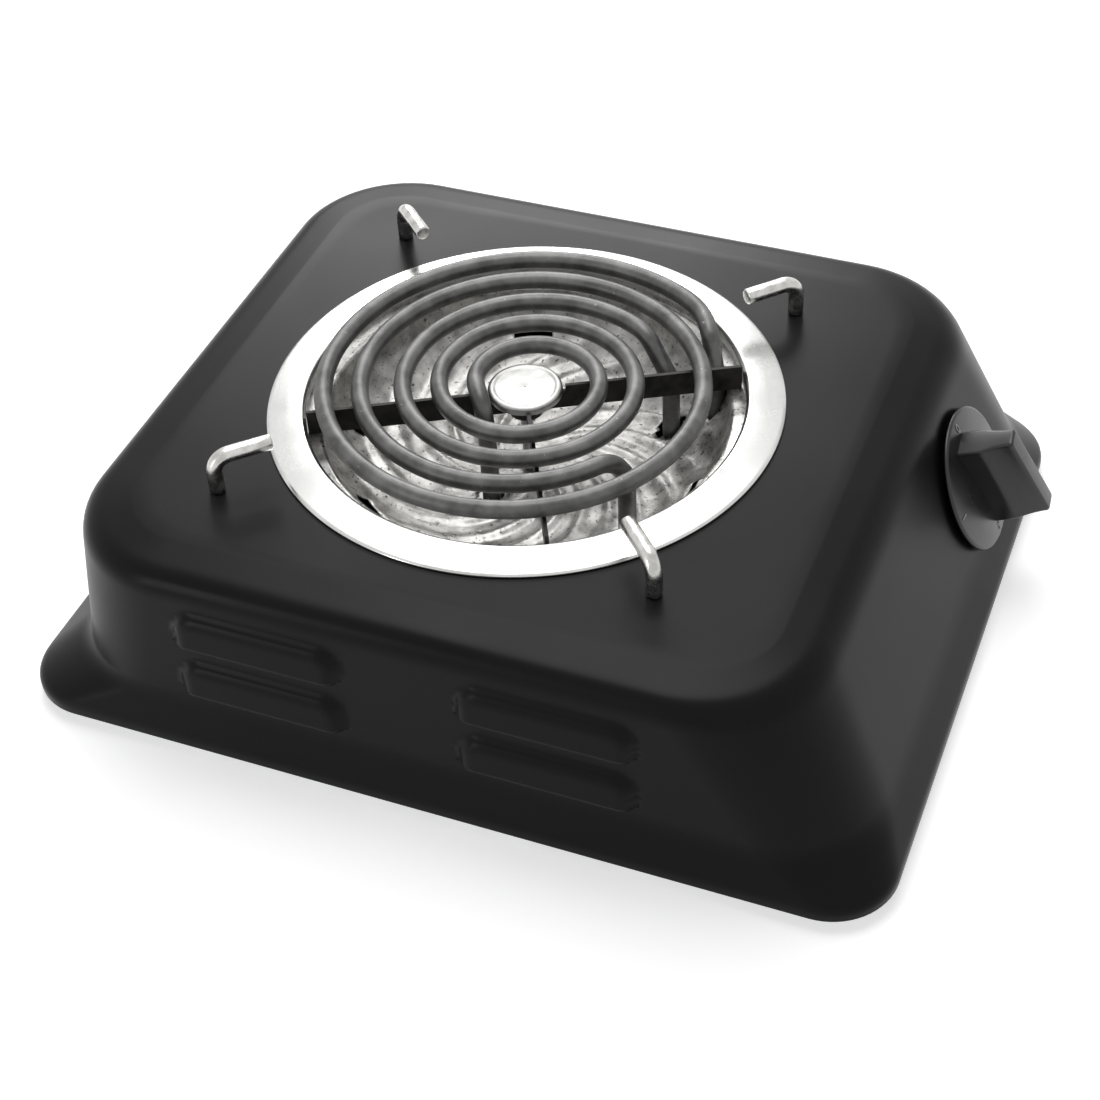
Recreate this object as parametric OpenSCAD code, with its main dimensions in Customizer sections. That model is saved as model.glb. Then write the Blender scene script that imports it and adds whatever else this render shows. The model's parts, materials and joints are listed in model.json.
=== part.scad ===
// Single hot plate with a sheathed spiral heater, a drip bowl and a rotary heat switch.
// Origin: the middle of the whole outline seen from above, at the level the rubber feet stand on.
// +Z is up and the knob faces -Y. The modules draw about the heater's axis, and placed() moves them.

/* [Base] */
// Width of the base, side to side
base_w = 298; // [270:1:340]
// From the heater's axis to the front edge of the base
base_front = 192.5; // [180:0.5:220]
// From the heater's axis to the back edge of the base
base_back = 169.5; // [155:0.5:200]
// Corner radius of the base
base_r = 27; // [18:1:34]
// Height of the turned-down lip round the base
lip_h = 5.5; // [4:0.5:8]
// Height of the body from the lip's lower edge to the panel
body_h = 86; // [80:1:110]
// Gap between the lip and the surface under the feet
foot_drop = 4; // [3:0.5:6]
// Thickness of the body's steel sheet
sheet_t = 1; // [0.8:0.1:1.2]

/* [Walls] */
// Height above the lip's lower edge at which the walls meet the flange
wall_foot_h = 21; // [16:1:26]
// Width across the walls at their foot
wall_w = 286; // [262:1:320]
// From the heater's axis to the foot of the front wall
wall_front = 183; // [170:0.5:205]
// From the heater's axis to the foot of the back wall
wall_back = 149.5; // [145:0.5:175]
// Corner radius of the walls at their foot
wall_r = 40; // [30:1:50]
// Width across the walls at the top
top_w = 282; // [258:1:312]
// From the heater's axis to the top of the front wall
top_front = 157; // [150:0.5:170]
// From the heater's axis to the top of the back wall
top_back = 147.5; // [140:0.5:170]
// Corner radius of the walls at the top
top_r = 50; // [38:1:58]
// Radius of the rounded edge between the walls and the panel
edge_r = 9; // [5:0.5:14]
// Width of the sloping border round the flat panel
crown_inset = 21; // [15:1:24]
// Fall of that sloping border
crown_drop = 2.5; // [1:0.25:4]

/* [Louvres] */
// Length of one louvre
louvre_l = 69; // [50:1:75]
// Height of one louvre
louvre_h = 15; // [10:0.5:17]
// How far a louvre stands out of the wall
louvre_out = 5; // [3:0.5:7]
// Gap between the two columns of louvres
louvre_gap = 48; // [30:1:60]
// Middle of the louvres, from the heater's axis towards the front
louvre_mid = 4; // [-10:1:15]
// Slit level of the lower row, above the lip's lower edge
louvre_low = 30; // [28:1:36]
// Distance between the two rows
louvre_pitch = 25; // [20:1:28]

/* [Ring and bowl] */
// Outer diameter of the trim ring
ring_od = 210; // [200:1:220]
// Inner diameter of the trim ring
ring_id = 178; // [174:0.5:184]
// Diameter of the hole in the panel
panel_hole_d = 190; // [186:0.5:194]
// Thickness of the ring's sheet
ring_t = 0.8; // [0.6:0.1:1]
// Rise of the ring's face from its outer edge to its inner edge
ring_rise = 1.6; // [0.5:0.1:3]
// Depth of the drip bowl below the panel
bowl_depth = 36; // [30:1:42]
// Thickness of the bowl's sheet
bowl_t = 0.6; // [0.5:0.1:1]

/* [Heater] */
// Diameter of the heater tube
tube_d = 7.4; // [6.5:0.1:8]
// Spacing of the heater's turns
turn_pitch = 14.8; // [12:0.1:15.5]
// Height of the tube's axis above the panel
tube_rise = 9; // [6:0.5:12]
// Radius of the first half turn
first_r = 25.6; // [24:0.1:27]
// Bend radius where a tube end turns down
tail_bend_r = 12; // [10:0.5:14]
// Width of a spider arm, which stands on edge
arm_h = 11; // [8:0.5:13]
// Thickness of a spider arm
arm_t = 1.5; // [1:0.1:2]
// Diameter of the cap at the middle
cap_d = 30.5; // [24:0.5:31]

/* [Pan supports] */
// Diameter of the pan support rod
rod_d = 6.5; // [5:0.5:8]
// Half the spacing of the four pan supports
rod_half = 90; // [86:0.5:96]
// How far the pattern of supports lies behind the heater's axis
rod_shift = 3.5; // [0:0.5:6]
// Height of the rod's axis above the panel
rod_rise = 16; // [13:0.5:24]
// Length of the arm from the leg's axis
rod_reach = 24; // [18:0.5:30]
// Bend radius of the rod's axis
rod_bend_r = 7; // [5:0.5:9]

/* [Knob and switch] */
// Distance of the knob's axis to the right of the heater's axis
knob_x = 57.5; // [40:0.5:70]
// Depth of the knob's axis below the panel, where it leaves the wall
knob_drop = 42.5; // [38:0.5:48]
// Diameter of the knob's skirt
knob_d = 60; // [46:1:62]
// Height of the knob's grip above the skirt's back
grip_h = 26; // [18:0.5:30]
// Length of the grip at its top
grip_l = 43; // [32:1:46]
// Length of the grip at its foot
grip_foot_l = 44; // [36:1:54]
// Width of the grip at its top
grip_w = 9; // [7:0.5:12]
// Turn of the grip from upright when it is at off
grip_turn = 12; // [0:1:20]
// Diameter of the switch shaft
shaft_d = 6; // [5:0.5:7]
// Radial running clearance of the shaft in its bush
shaft_gap = 0.06; // [0.02:0.01:0.09]
// Side of the square switch body
switch_w = 42; // [36:1:46]
// Depth of the switch body
switch_l = 26; // [22:1:32]

/* [Hidden] */
$fn = 64;

slab_t = 0.02;            // thickness of the thin outlines that a hull joins
corner_steps = 9;         // straight steps in each rounded corner of the body
clear = 0.3;              // gap between loose pieces that don't fit each other
thread_gap = 0.1;         // how much wider a threaded hole is than its screw
lip_z = foot_drop;
panel_z = lip_z + body_h;
foot_z = lip_z + wall_foot_h;
edge_z = panel_z - crown_drop - edge_r;
hem_w = 12;               // width of the inturned hem that the base plate is screwed to
leave_a = 60;             // where the front wall leaves the rounded edge, from the top of its arc
leave_y = top_front - edge_r * (1 - sin(leave_a));
leave_z = edge_z + edge_r * cos(leave_a);
wall_tilt = atan((wall_front - leave_y) / (leave_z - foot_z));

function corner(cx, cy, r, a) =
    [for (i = [0:corner_steps]) let (b = a + 90 * i / corner_steps) [cx + r * cos(b), cy + r * sin(b)]];
function outline(hw, front, back, r) = concat(
    corner(hw - r, back - r, r, 0), corner(r - hw, back - r, r, 90),
    corner(r - hw, r - front, r, 180), corner(hw - r, r - front, r, 270));
function side_x(z) = top_w / 2 + (wall_w - top_w) / 2 * (edge_z - z) / (edge_z - foot_z);
function front_y(z) = (z - foot_z) * tan(wall_tilt) - wall_front;
function back_y(z) = top_back + (wall_back - top_back) * (edge_z - z) / (edge_z - foot_z);

module slab(hw, front, back, r, z, h = slab_t) {
    translate([0, 0, z]) linear_extrude(h) polygon(outline(hw, front, back, r));
}

// ---- body ----

// Panel, rounded edge and walls as one convex form, smaller by t on every side.
module upper_form(t) {
    re = edge_r - t;
    hull() {
        slab(top_w / 2 - crown_inset, top_front - crown_inset, top_back - crown_inset,
            top_r - crown_inset, panel_z - t - slab_t);
        for (a = [10, 35, leave_a, 90]) {
            inset = t + re * (1 - sin(a));
            slab(top_w / 2 - inset, top_front - inset, top_back - inset, top_r - inset,
                edge_z + re * cos(a) - slab_t);
        }
        slab(wall_w / 2 - t, wall_front - t, wall_back - t, wall_r - t, foot_z);
        slab(wall_w / 2 - t, wall_front - t, wall_back - t, wall_r - t, lip_z + lip_h);
    }
}

// Flange between the foot of the walls and the top of the lip, smaller by t.
module flange_form(t) {
    hull() {
        slab(wall_w / 2 - t, wall_front - t, wall_back - t, wall_r - t, foot_z - t / 2);
        slab(base_w / 2 - t, base_front - t, base_back - t, base_r - t, lip_z + lip_h - t / 2);
    }
}

louvre_r = (louvre_h * louvre_h + louvre_out * louvre_out) / (2 * louvre_out);
louvre_straight = louvre_l - 2 * louvre_h;
louvre_y = [for (s = [-1, 1]) -louvre_mid + s * (louvre_gap + louvre_l) / 2];
louvre_z = [lip_z + louvre_low, lip_z + louvre_low + louvre_pitch];

// Round-ended hood over one slit, cut off at the slit.
module hood(r, drop) {
    intersection() {
        union() {
            rotate([90, 0, 0]) cylinder(r = r, h = louvre_straight, center = true);
            for (s = [-1, 1]) translate([0, s * louvre_straight / 2, 0]) sphere(r = r);
        }
        translate([0, -louvre_l, -drop]) cube([2 * r, 2 * louvre_l, 2 * r]);
    }
}

module hoods(t, drop) {
    for (y = louvre_y, z = louvre_z, s = [0, 1]) {
        mirror([s, 0, 0]) translate([side_x(z) + louvre_out - louvre_r, y, z]) hood(louvre_r - t, drop);
    }
}

rod_places = [for (sx = [-1, 1], sy = [-1, 1]) [sx * rod_half, rod_shift + sy * rod_half]];
rod_thread_d = rod_d - 1.3;
hem_screw_d = 3;
screw_ys = [-base_front + 7, 0, base_back - 7];
screw_places = concat(
    [for (sx = [-1, 1]) [sx * (base_w / 2 - 7), 0]],
    [for (sx = [-1, 1], y = [-base_front + 7, base_back - 7]) [sx * base_w / 4, y]]);

knob_z = panel_z - knob_drop;
bush_d = 10;
grommet_z = 38;
grommet_hole_d = 14;
clamp_y = base_back - 60;

// Puts the origin on the front wall's outer face at the knob, +Z out of the wall and +Y up along it.
module at_knob() {
    translate([knob_x, front_y(knob_z), knob_z]) rotate([90 - wall_tilt, 0, 0]) children();
}

module body_shell() color("#1d1d1f") {
    difference() {
        union() {
            upper_form(0);
            flange_form(0);
            slab(base_w / 2, base_front, base_back, base_r, lip_z, lip_h);
            hoods(0, 0);
        }
        upper_form(sheet_t);
        flange_form(sheet_t);
        slab(base_w / 2 - sheet_t, base_front - sheet_t, base_back - sheet_t, base_r - sheet_t,
            lip_z + sheet_t, lip_h - sheet_t);
        slab(base_w / 2 - hem_w, base_front - hem_w, base_back - hem_w, base_r - hem_w,
            lip_z - 1, lip_h);
        hoods(sheet_t, 0.4);
        translate([0, 0, panel_z - 5]) cylinder(d = panel_hole_d, h = 10, $fn = 128);
        for (p = rod_places) translate([p[0], p[1], panel_z - 5]) cylinder(d = rod_thread_d + 0.4, h = 10);
        for (p = screw_places) translate([p[0], p[1], lip_z - 1]) cylinder(d = hem_screw_d - 0.4, h = 3);
        at_knob() translate([0, 0, -5]) cylinder(d = bush_d + 0.4, h = 10);
        translate([0, back_y(grommet_z), grommet_z]) rotate([90, 0, 0])
            cylinder(d = grommet_hole_d, h = 12, center = true);
        translate([earth_x, back_y(earth_z), earth_z]) rotate([90, 0, 0])
            cylinder(d = earth_d + 0.2, h = 12, center = true);
    }
}

// ---- base plate ----

plate_inset = 2.5;
plate_t = 1;
foot_inset = 34;          // from the base's sides to the middle of a foot
foot_pos = [for (sx = [-1, 1], sy = [-1, 1])
    [sx * (base_w / 2 - foot_inset), sy > 0 ? base_back - foot_inset : foot_inset - base_front]];
foot_stem_d = 7;
earth_d = 4;              // earth stud
foot_d = 18;
vent_w = 5;
vent_l = 60;

module base_plate() color("#8c8f92") {
    difference() {
        slab(base_w / 2 - plate_inset, base_front - plate_inset, base_back - plate_inset,
            base_r - plate_inset, lip_z - plate_t, plate_t);
        for (p = screw_places) translate([p[0], p[1], lip_z - 3]) cylinder(d = hem_screw_d + 0.4, h = 5);
        for (p = foot_pos) translate([p[0], p[1], lip_z - 3]) cylinder(d = foot_stem_d, h = 5);
        for (sx = [-1, 1], i = [-3:3]) {
            translate([sx * 55 - vent_l / 2, i * 18 - vent_w / 2, lip_z - 3]) cube([vent_l, vent_w, 5]);
        }
        for (sx = [-1, 1]) {
            translate([terminal_x + sx * block_screw_x, terminal_y, lip_z - 3]) cylinder(d = 3.4, h = 5);
            translate([sx * clamp_half, clamp_y, lip_z - 3]) cylinder(d = 3.4, h = 5);
        }
    }
}

// Pan-head screw standing on its head, thread upwards.
module screw_up(head_d, head_h, d, length) {
    cylinder(d = head_d, h = head_h);
    translate([0, 0, head_h]) cylinder(d = d, h = length);
}

module base_screws() color("#b9bbbd") {
    for (p = screw_places) {
        translate([p[0], p[1], lip_z - plate_t - 1.8]) screw_up(6, 1.8, hem_screw_d - 0.5, 6);
    }
}

module rubber_feet() color("#161616") {
    for (p = foot_pos) translate([p[0], p[1], 0]) {
        cylinder(d1 = foot_d - 2, d2 = foot_d, h = lip_z - plate_t);
        translate([0, 0, lip_z - plate_t]) cylinder(d = foot_stem_d - 0.2, h = plate_t + 0.2);
        translate([0, 0, lip_z]) cylinder(d1 = foot_stem_d + 3, d2 = foot_stem_d, h = 3);
    }
}

// ---- trim ring and drip bowl ----

rim_t = bowl_t;
rim_z = panel_z + rim_t;
ring_face_z = panel_z + 1.6;

module trim_ring() color("#c9cacb") {
    ro = ring_od / 2;
    ri = ring_id / 2;
    rotate_extrude($fn = 180) {
        polygon([[ro, panel_z], [ro, ring_face_z - 0.6], [ro - 0.8, ring_face_z],
            [ri + 1, ring_face_z + ring_rise], [ri, ring_face_z + ring_rise - 1],
            [ri, panel_z - 2], [ri + ring_t, panel_z - 2],
            [ri + ring_t, ring_face_z + ring_rise - 1.4], [ri + 1.5, ring_face_z + ring_rise - ring_t],
            [ro - 1.3, ring_face_z - ring_t], [ro - ring_t, panel_z]]);
    }
}

ledge_z = panel_z + tube_rise - tube_d / 2 - arm_h - clear;
rim_ro = panel_hole_d / 2 + 4;
rim_ri = ring_id / 2 + ring_t + clear;
ledge_ri = rim_ri - 7;
bowl_floor_z = panel_z - bowl_depth;
bowl_floor_r = 42;

// Points of the bowl's curved side, from the ledge down to the floor, as a quarter ellipse.
side_pts = [for (a = [0:10:90])
    [bowl_floor_r + (ledge_ri - bowl_floor_r) * cos(a), ledge_z - (ledge_z - bowl_floor_z) * sin(a)]];
function moved(p, d) = [for (q = p) [q[0] + d[0], q[1] + d[1]]];
function reversed(p) = [for (i = [len(p) - 1:-1:0]) p[i]];

module bowl_profile() {
    polygon(concat(
        [[rim_ro, panel_z], [rim_ro, rim_z], [rim_ri, rim_z], [rim_ri, ledge_z]],
        side_pts, [[stud_hole_d / 2, bowl_floor_z], [stud_hole_d / 2, bowl_floor_z - bowl_t]],
        reversed(moved(side_pts, [bowl_t * 0.7, -bowl_t])),
        [[rim_ri + bowl_t, ledge_z - bowl_t], [rim_ri + bowl_t, panel_z]]));
}

stud_d = 5;
stud_hole_d = stud_d + 0.6;
tail_hole_d = tube_d + 5;

module drip_bowl() color("#bfc1c2") {
    difference() {
        rotate_extrude($fn = 120) bowl_profile();
        for (p = tail_places) translate([p[0], p[1], bowl_floor_z - 20])
            cylinder(d = tail_hole_d, h = bowl_depth + 15);
    }
}

// ---- heater tubes ----
// Each tube lies on one flat spiral. Its ends leave the spiral along a straight line, slope down below
// the next turn and end upright. Angles run clockwise from +Y and grow onwards along the tube. A place
// on a tube is [point, heading, dip], with the dip below level.

tube_z = panel_z + tube_rise;
tube_sides = 14;
turn_step = 12;           // degrees between two rings of a swept tube on the spiral
bend_steps = 4;           // rings in one bend of a tube's end
inner_from = -30;
inner_to = 842;
outer_from = 940;
outer_to = 1560;
tuck_r = 40;              // the outer tube's last stretch turns in more tightly than the spiral
inner_shift = [-0.2, -1.5, tube_z];
outer_shift = [-0.6, 1, tube_z];
tail_end_z = bowl_floor_z - 8;

// Each end: angle, 1 onwards or -1 backwards, dip of the slope, its length, shift, tighter turn before it.
tails = [
    [inner_from, -1, 60, 2, inner_shift, 0],
    [inner_to, 1, 45, 12, inner_shift, 0],
    [outer_from, -1, 60, 3, outer_shift, 0],
    [outer_to, 1, 45, 10, outer_shift, 30]];

function radial(f) = [sin(f), cos(f), 0];
function spiral_r(f) = first_r - turn_pitch / 4 + turn_pitch * f / 360;
function spiral_heading(f) = atan(turn_pitch / (2 * PI * spiral_r(f))) - f;
function ahead(h, dip = 0) = [cos(dip) * cos(h), cos(dip) * sin(h), -sin(dip)];
function spiral_place(f, shift) = [shift + spiral_r(f) * radial(f), spiral_heading(f), 0];

// Level bend to the right of a place, and places along it.
function level_bend(q, r, turn) = let (c = q[0] + r * [sin(q[1]), -cos(q[1]), 0])
    [for (i = [1:3]) let (h = q[1] - turn * i / 3) [c + r * [-sin(h), cos(h), 0], h, 0]];

// Bend in the upright plane of a place, down to a steeper dip.
function down_bend(q, dip) = let (h = q[1], c = q[0] - tail_bend_r * ahead(h, q[2] - 90))
    [for (i = [1:bend_steps]) let (d = q[2] + (dip - q[2]) * i / bend_steps)
        [c + tail_bend_r * ahead(h, d - 90), h, d]];
function last(list) = list[len(list) - 1];
function straight(q, run) = [[q[0] + run * ahead(q[1], q[2]), q[1], q[2]]];

// Places along a tube's end after it leaves the spiral.
function tail_path(t) = let (
    on = spiral_place(t[0], t[4]),
    q = [on[0], on[1] + (t[1] < 0 ? 180 : 0), 0],
    tuck = t[5] > 0 ? level_bend(q, tuck_r, t[5]) : [],
    a = concat(tuck, down_bend(last(concat([q], tuck)), t[2])),
    b = concat(a, straight(last(a), t[3])),
    c = concat(b, down_bend(last(b), 90)))
    concat(c, straight(last(c), last(c)[0][2] - tail_end_z));
function backwards(path) = [for (i = [len(path) - 1:-1:0]) [path[i][0], path[i][1] + 180, -path[i][2]]];
function turns(f0, f1, shift) = let (n = ceil((f1 - f0) / turn_step))
    [for (i = [0:n]) spiral_place(f0 + (f1 - f0) * i / n, shift)];
function tail_place(t) = last(tail_path(t))[0];
tail_places = [for (t = tails) tail_place(t)];

// Round tube with flat ends through the places of a path.
module swept_tube(path, d, sides) {
    n = len(path);
    points = [for (q = path, j = [0:sides - 1]) let (
        side = [-sin(q[1]), cos(q[1]), 0],
        top = cross(ahead(q[1], q[2]), side))
        q[0] + d / 2 * (cos(360 * j / sides) * side + sin(360 * j / sides) * top)];
    tube_faces(points, n, sides);
}

// Closed tube through rings of points, each with the same number of sides.
module tube_faces(points, n, sides) {
    walls = [for (i = [0:n - 2], j = [0:sides - 1]) let (
        k = (j + 1) % sides,
        a = i * sides + j,
        b = i * sides + k)
        each [[a, a + sides, b + sides], [a, b + sides, b]]];
    start = [for (j = [0:sides - 1]) j];
    end = [for (j = [sides - 1:-1:0]) (n - 1) * sides + j];
    polyhedron(points, concat(walls, [start, end]));
}

module heater_tube(from, to) {
    path = concat(backwards(tail_path(from)), turns(from[0], to[0], from[4]), tail_path(to));
    swept_tube(path, tube_d, tube_sides);
}

module inner_heater_tube() color("#4b4a49") { heater_tube(tails[0], tails[1]); }
module outer_heater_tube() color("#4b4a49") { heater_tube(tails[2], tails[3]); }

bush_h = 6;
pin_d = 2.6;
pin_l = 12;

module tube_bush(t) {
    p = tail_place(t);
    translate([p[0], p[1], tail_end_z - bush_h]) difference() {
        cylinder(d = tube_d + 1.2, h = bush_h);
        translate([0, 0, -1]) cylinder(d = pin_d + 0.1, h = bush_h + 2);
    }
}

module tube_pin(t) {
    p = tail_place(t);
    translate([p[0], p[1], tail_end_z - bush_h - pin_l]) cylinder(d = pin_d, h = bush_h + pin_l);
}

module inner_pin_bushes() color("#e8e4da") { tube_bush(tails[0]); tube_bush(tails[1]); }
module outer_pin_bushes() color("#e8e4da") { tube_bush(tails[2]); tube_bush(tails[3]); }
module inner_tube_pins() color("#b8b39a") { tube_pin(tails[0]); tube_pin(tails[1]); }
module outer_tube_pins() color("#b8b39a") { tube_pin(tails[2]); tube_pin(tails[3]); }

// ---- spider, cap and stud ----

arm_angles = [-62, 118, 207];
arm_top = tube_z - tube_d / 2;
hub_r = 7;
cap_z = panel_z + 3;
cap_t = 4;

module spider_bracket() color("#3a3a3b") {
    arm_low = arm_top - arm_h;
    step_r = cap_d / 2 + 1;
    end_r = rim_ri - 1.5;
    difference() {
        union() {
            translate([0, 0, arm_low]) cylinder(r = hub_r, h = cap_z - arm_low);
            for (a = arm_angles) rotate([90, 0, a]) linear_extrude(arm_t, center = true)
                polygon([[hub_r - 1, arm_low], [end_r, arm_low], [end_r, arm_top],
                    [step_r, arm_top], [step_r, cap_z - 0.2], [hub_r - 1, cap_z - 0.2]]);
        }
        translate([0, 0, arm_low - 1]) cylinder(d = stud_hole_d, h = arm_h + 2);
    }
}

module centre_cap() color("#a9aaab") {
    rotate_extrude($fn = 96) polygon([[0, cap_z], [cap_d / 2 - 0.6, cap_z], [cap_d / 2, cap_z + 0.6],
        [cap_d / 2, cap_z + cap_t - 1.5], [cap_d / 2 - 0.5, cap_z + cap_t - 0.5],
        [cap_d / 2 - 1.6, cap_z + cap_t], [0, cap_z + cap_t]]);
}

nut_h = 4;
module centre_stud() color("#b9bbbd") {
    low = bowl_floor_z - bowl_t - nut_h - 3;
    translate([0, 0, low]) cylinder(d = stud_d, h = cap_z - low);
}

// Hexagon nut with its lower face at the origin.
module hex_nut(across, h, bore) {
    difference() {
        cylinder(d = across / cos(30), h = h, $fn = 6);
        translate([0, 0, -1]) cylinder(d = bore, h = h + 2);
    }
}

module centre_nut() color("#c4c6c8") {
    translate([0, 0, bowl_floor_z - bowl_t - nut_h]) hex_nut(8, nut_h, stud_d + thread_gap);
}

// ---- pan supports ----

rod_below = 9;
rod_bevel = 0.6;
module pan_support(i) color("#d2d3d4") {
    p = rod_places[i];
    to_axis = atan2(rod_shift - p[1], -p[0]);
    translate([p[0], p[1], panel_z]) rotate([0, 0, to_axis]) {
        translate([0, 0, -rod_below]) cylinder(d = rod_thread_d, h = rod_below);
        cylinder(d = rod_d, h = rod_rise - rod_bend_r);
        translate([rod_bend_r, 0, rod_rise - rod_bend_r]) rotate([90, 0, 0]) rotate([0, 0, 90])
            rotate_extrude(angle = 90, $fn = 48) translate([rod_bend_r, 0]) circle(d = rod_d, $fn = 32);
        translate([rod_bend_r, 0, rod_rise]) rotate([0, 90, 0])
            cylinder(d = rod_d, h = rod_reach - rod_bend_r - rod_bevel);
        translate([rod_reach - rod_bevel, 0, rod_rise]) rotate([0, 90, 0])
            cylinder(d1 = rod_d, d2 = rod_d - 2 * rod_bevel, h = rod_bevel);
    }
}
module pan_support_front_left() { pan_support(0); }
module pan_support_back_left() { pan_support(1); }
module pan_support_front_right() { pan_support(2); }
module pan_support_back_right() { pan_support(3); }

module pan_support_nuts() color("#c4c6c8") {
    for (p = rod_places) translate([p[0], p[1], panel_z - sheet_t - nut_h])
        hex_nut(8, nut_h, rod_thread_d + thread_gap);
}

// ---- knob and switch, built along the knob's axis with the wall's outer face at z = 0 ----

skirt_gap = 1.5;
skirt_t = 3;
hub_d = 13;
shaft_in = 14;

module heat_knob() color("#161616") at_knob() translate([0, 0, skirt_gap]) {
    difference() {
        union() {
            rotate_extrude($fn = 96) polygon([[0, 0], [knob_d / 2 - 0.6, 0], [knob_d / 2, 0.6],
                [knob_d / 2 - 0.4, 1.6], [knob_d / 4, skirt_t + 0.8], [0, skirt_t + 1.2]]);
            rotate([0, 0, grip_turn]) difference() {
                rotate([90, 0, 90]) linear_extrude(hub_d, center = true) polygon([[-grip_foot_l / 2, 0],
                    [grip_foot_l / 2, 0], [grip_l / 2, grip_h], [-grip_l / 2, grip_h]]);
                for (s = [-1, 1]) translate([s * (grip_w / 2 + scoop_r), 0, scoop_z])
                    rotate([90, 0, 0]) cylinder(r = scoop_r, h = grip_foot_l + 2, center = true, $fn = 96);
            }
        }
        translate([0, 0, -1]) cylinder(d = shaft_d + 0.1, h = shaft_in + 1);
        translate([0, 0, 8]) rotate([90, 0, grip_turn]) cylinder(d = 3 + thread_gap, h = grip_l);
    }
}
scoop_z = grip_h - 1;
scoop_r = 40;

module knob_grub_screw() color("#8c8f92") at_knob() translate([0, 0, skirt_gap + 8])
    rotate([90, 0, grip_turn]) translate([0, 0, shaft_d / 2 + 0.05]) cylinder(d = 3, h = 6);

module switch_shaft() color("#c4c6c8") at_knob() {
    low = 4 - sheet_t - clear - switch_l;
    translate([0, 0, low]) cylinder(d = shaft_d, h = skirt_gap + shaft_in - 0.5 - low);
}

cam_z = -sheet_t - clear - switch_l + 6;
cam_h = 10;
cam_d = 20;
module switch_cam() color("#e6e1d2") at_knob() translate([0, 0, cam_z]) difference() {
    cylinder(d = cam_d, h = cam_h);
    translate([0, 0, -1]) cylinder(d = shaft_d, h = cam_h + 2);
    for (a = [0:90:270]) rotate([0, 0, a]) translate([cam_d / 2 + 1, 0, -1]) cylinder(d = 5, h = cam_h + 2);
}

cavity_d = cam_d + 6;
switch_back = -sheet_t - clear - switch_l;
cover_t = 3;
blade_r = switch_w / 2 - 6;

// The three contact blades, or their slots when made wider by gap, from z to z + h.
module blades(z, h, gap = 0) {
    for (a = [0, 90, 180]) rotate([0, 0, a]) translate([blade_r - 2 - gap / 2, -1 - gap / 2, z])
        cube([3.8 + gap, 1.8 + gap, h]);
}

module switch_body() color("#3b2c22") at_knob() {
    difference() {
        union() {
            translate([-switch_w / 2, -switch_w / 2, switch_back + cover_t])
                cube([switch_w, switch_w, switch_l - cover_t]);
            translate([0, 0, -sheet_t - clear - 0.1])
                cylinder(d = bush_d, h = sheet_t + clear + 0.1 + bush_nut_h);
        }
        translate([0, 0, switch_back]) cylinder(r = shaft_d / 2 + shaft_gap, h = switch_l + 20);
        translate([0, 0, switch_back + cover_t - 1]) cylinder(d = cavity_d, h = cam_h + 6);
        blades(switch_back + cover_t - 1, 12.2, 0.2);
    }
}

module switch_rear_cover() color("#5a4638") at_knob() {
    difference() {
        translate([-switch_w / 2, -switch_w / 2, switch_back]) cube([switch_w, switch_w, cover_t]);
        blades(switch_back - 1, cover_t + 2, 0.2);
    }
}

blade_out = 8;            // how far the blades stand out of the rear cover
module switch_contacts() color("#c9a24a") at_knob() {
    blades(switch_back - blade_out, blade_out + cover_t + 11);
}

bush_nut_h = 0.9;
seat_gap = 0.05;          // lift of the nut off the sloping sheet
module switch_bush_nut() color("#c4c6c8") at_knob() {
    difference() {
        translate([0, 0, seat_gap]) cylinder(d = 14 / cos(30), h = bush_nut_h - seat_gap, $fn = 6);
        translate([0, 0, -1]) cylinder(d = bush_d + thread_gap, h = 4);
    }
}

// ---- terminal block, earth and cord inlet ----

terminal_x = 45;
terminal_y = 95;
terminal_l = 40;
terminal_w = 18;
terminal_h = 16;
terminal_pitch = 12;
terminal_bore_z = 8;
poles = [-1, 0, 1];
block_screw_x = terminal_pitch / 2;

module at_terminals() translate([terminal_x, terminal_y, lip_z]) children();

module terminal_block() color("#efece4") at_terminals() difference() {
    translate([-terminal_l / 2, -terminal_w / 2, 0]) cube([terminal_l, terminal_w, terminal_h]);
    for (i = poles) translate([i * terminal_pitch, 0, terminal_bore_z])
        rotate([90, 0, 0]) cylinder(d = 4, h = terminal_w + 2, center = true);
    for (i = poles, j = [-1, 1]) translate([i * terminal_pitch, j * 5, terminal_bore_z])
        cylinder(d = 3 + thread_gap, h = terminal_h);
    for (s = [-1, 1]) translate([s * block_screw_x, 0, -1]) cylinder(d = 3 + thread_gap, h = terminal_h + 2);
}

module terminal_screws() color("#c9a24a") at_terminals() {
    for (i = poles, j = [-1, 1]) translate([i * terminal_pitch, j * 5, terminal_bore_z + lead_d / 2])
        cylinder(d = 3, h = 6);
}

module terminal_block_screws() color("#b9bbbd") at_terminals() {
    for (s = [-1, 1]) translate([s * block_screw_x, 0, 0]) {
        cylinder(d = 3, h = terminal_h);
        translate([0, 0, terminal_h]) cylinder(d = 5, h = 1.8);
    }
}

earth_x = 40;
earth_z = 50;
module earth_stud() color("#c9a24a") translate([earth_x, back_y(earth_z), earth_z]) rotate([90, 0, 0]) {
    translate([0, 0, -2]) cylinder(d = 8, h = 1.7);
    translate([0, 0, -0.3]) cylinder(d = earth_d, h = 14);
}

module earth_nut() color("#c9a24a") {
    translate([earth_x, back_y(earth_z) - sheet_t - 3.4, earth_z]) rotate([-90, 0, 0])
        hex_nut(7, 3, earth_d + thread_gap);
}

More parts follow.
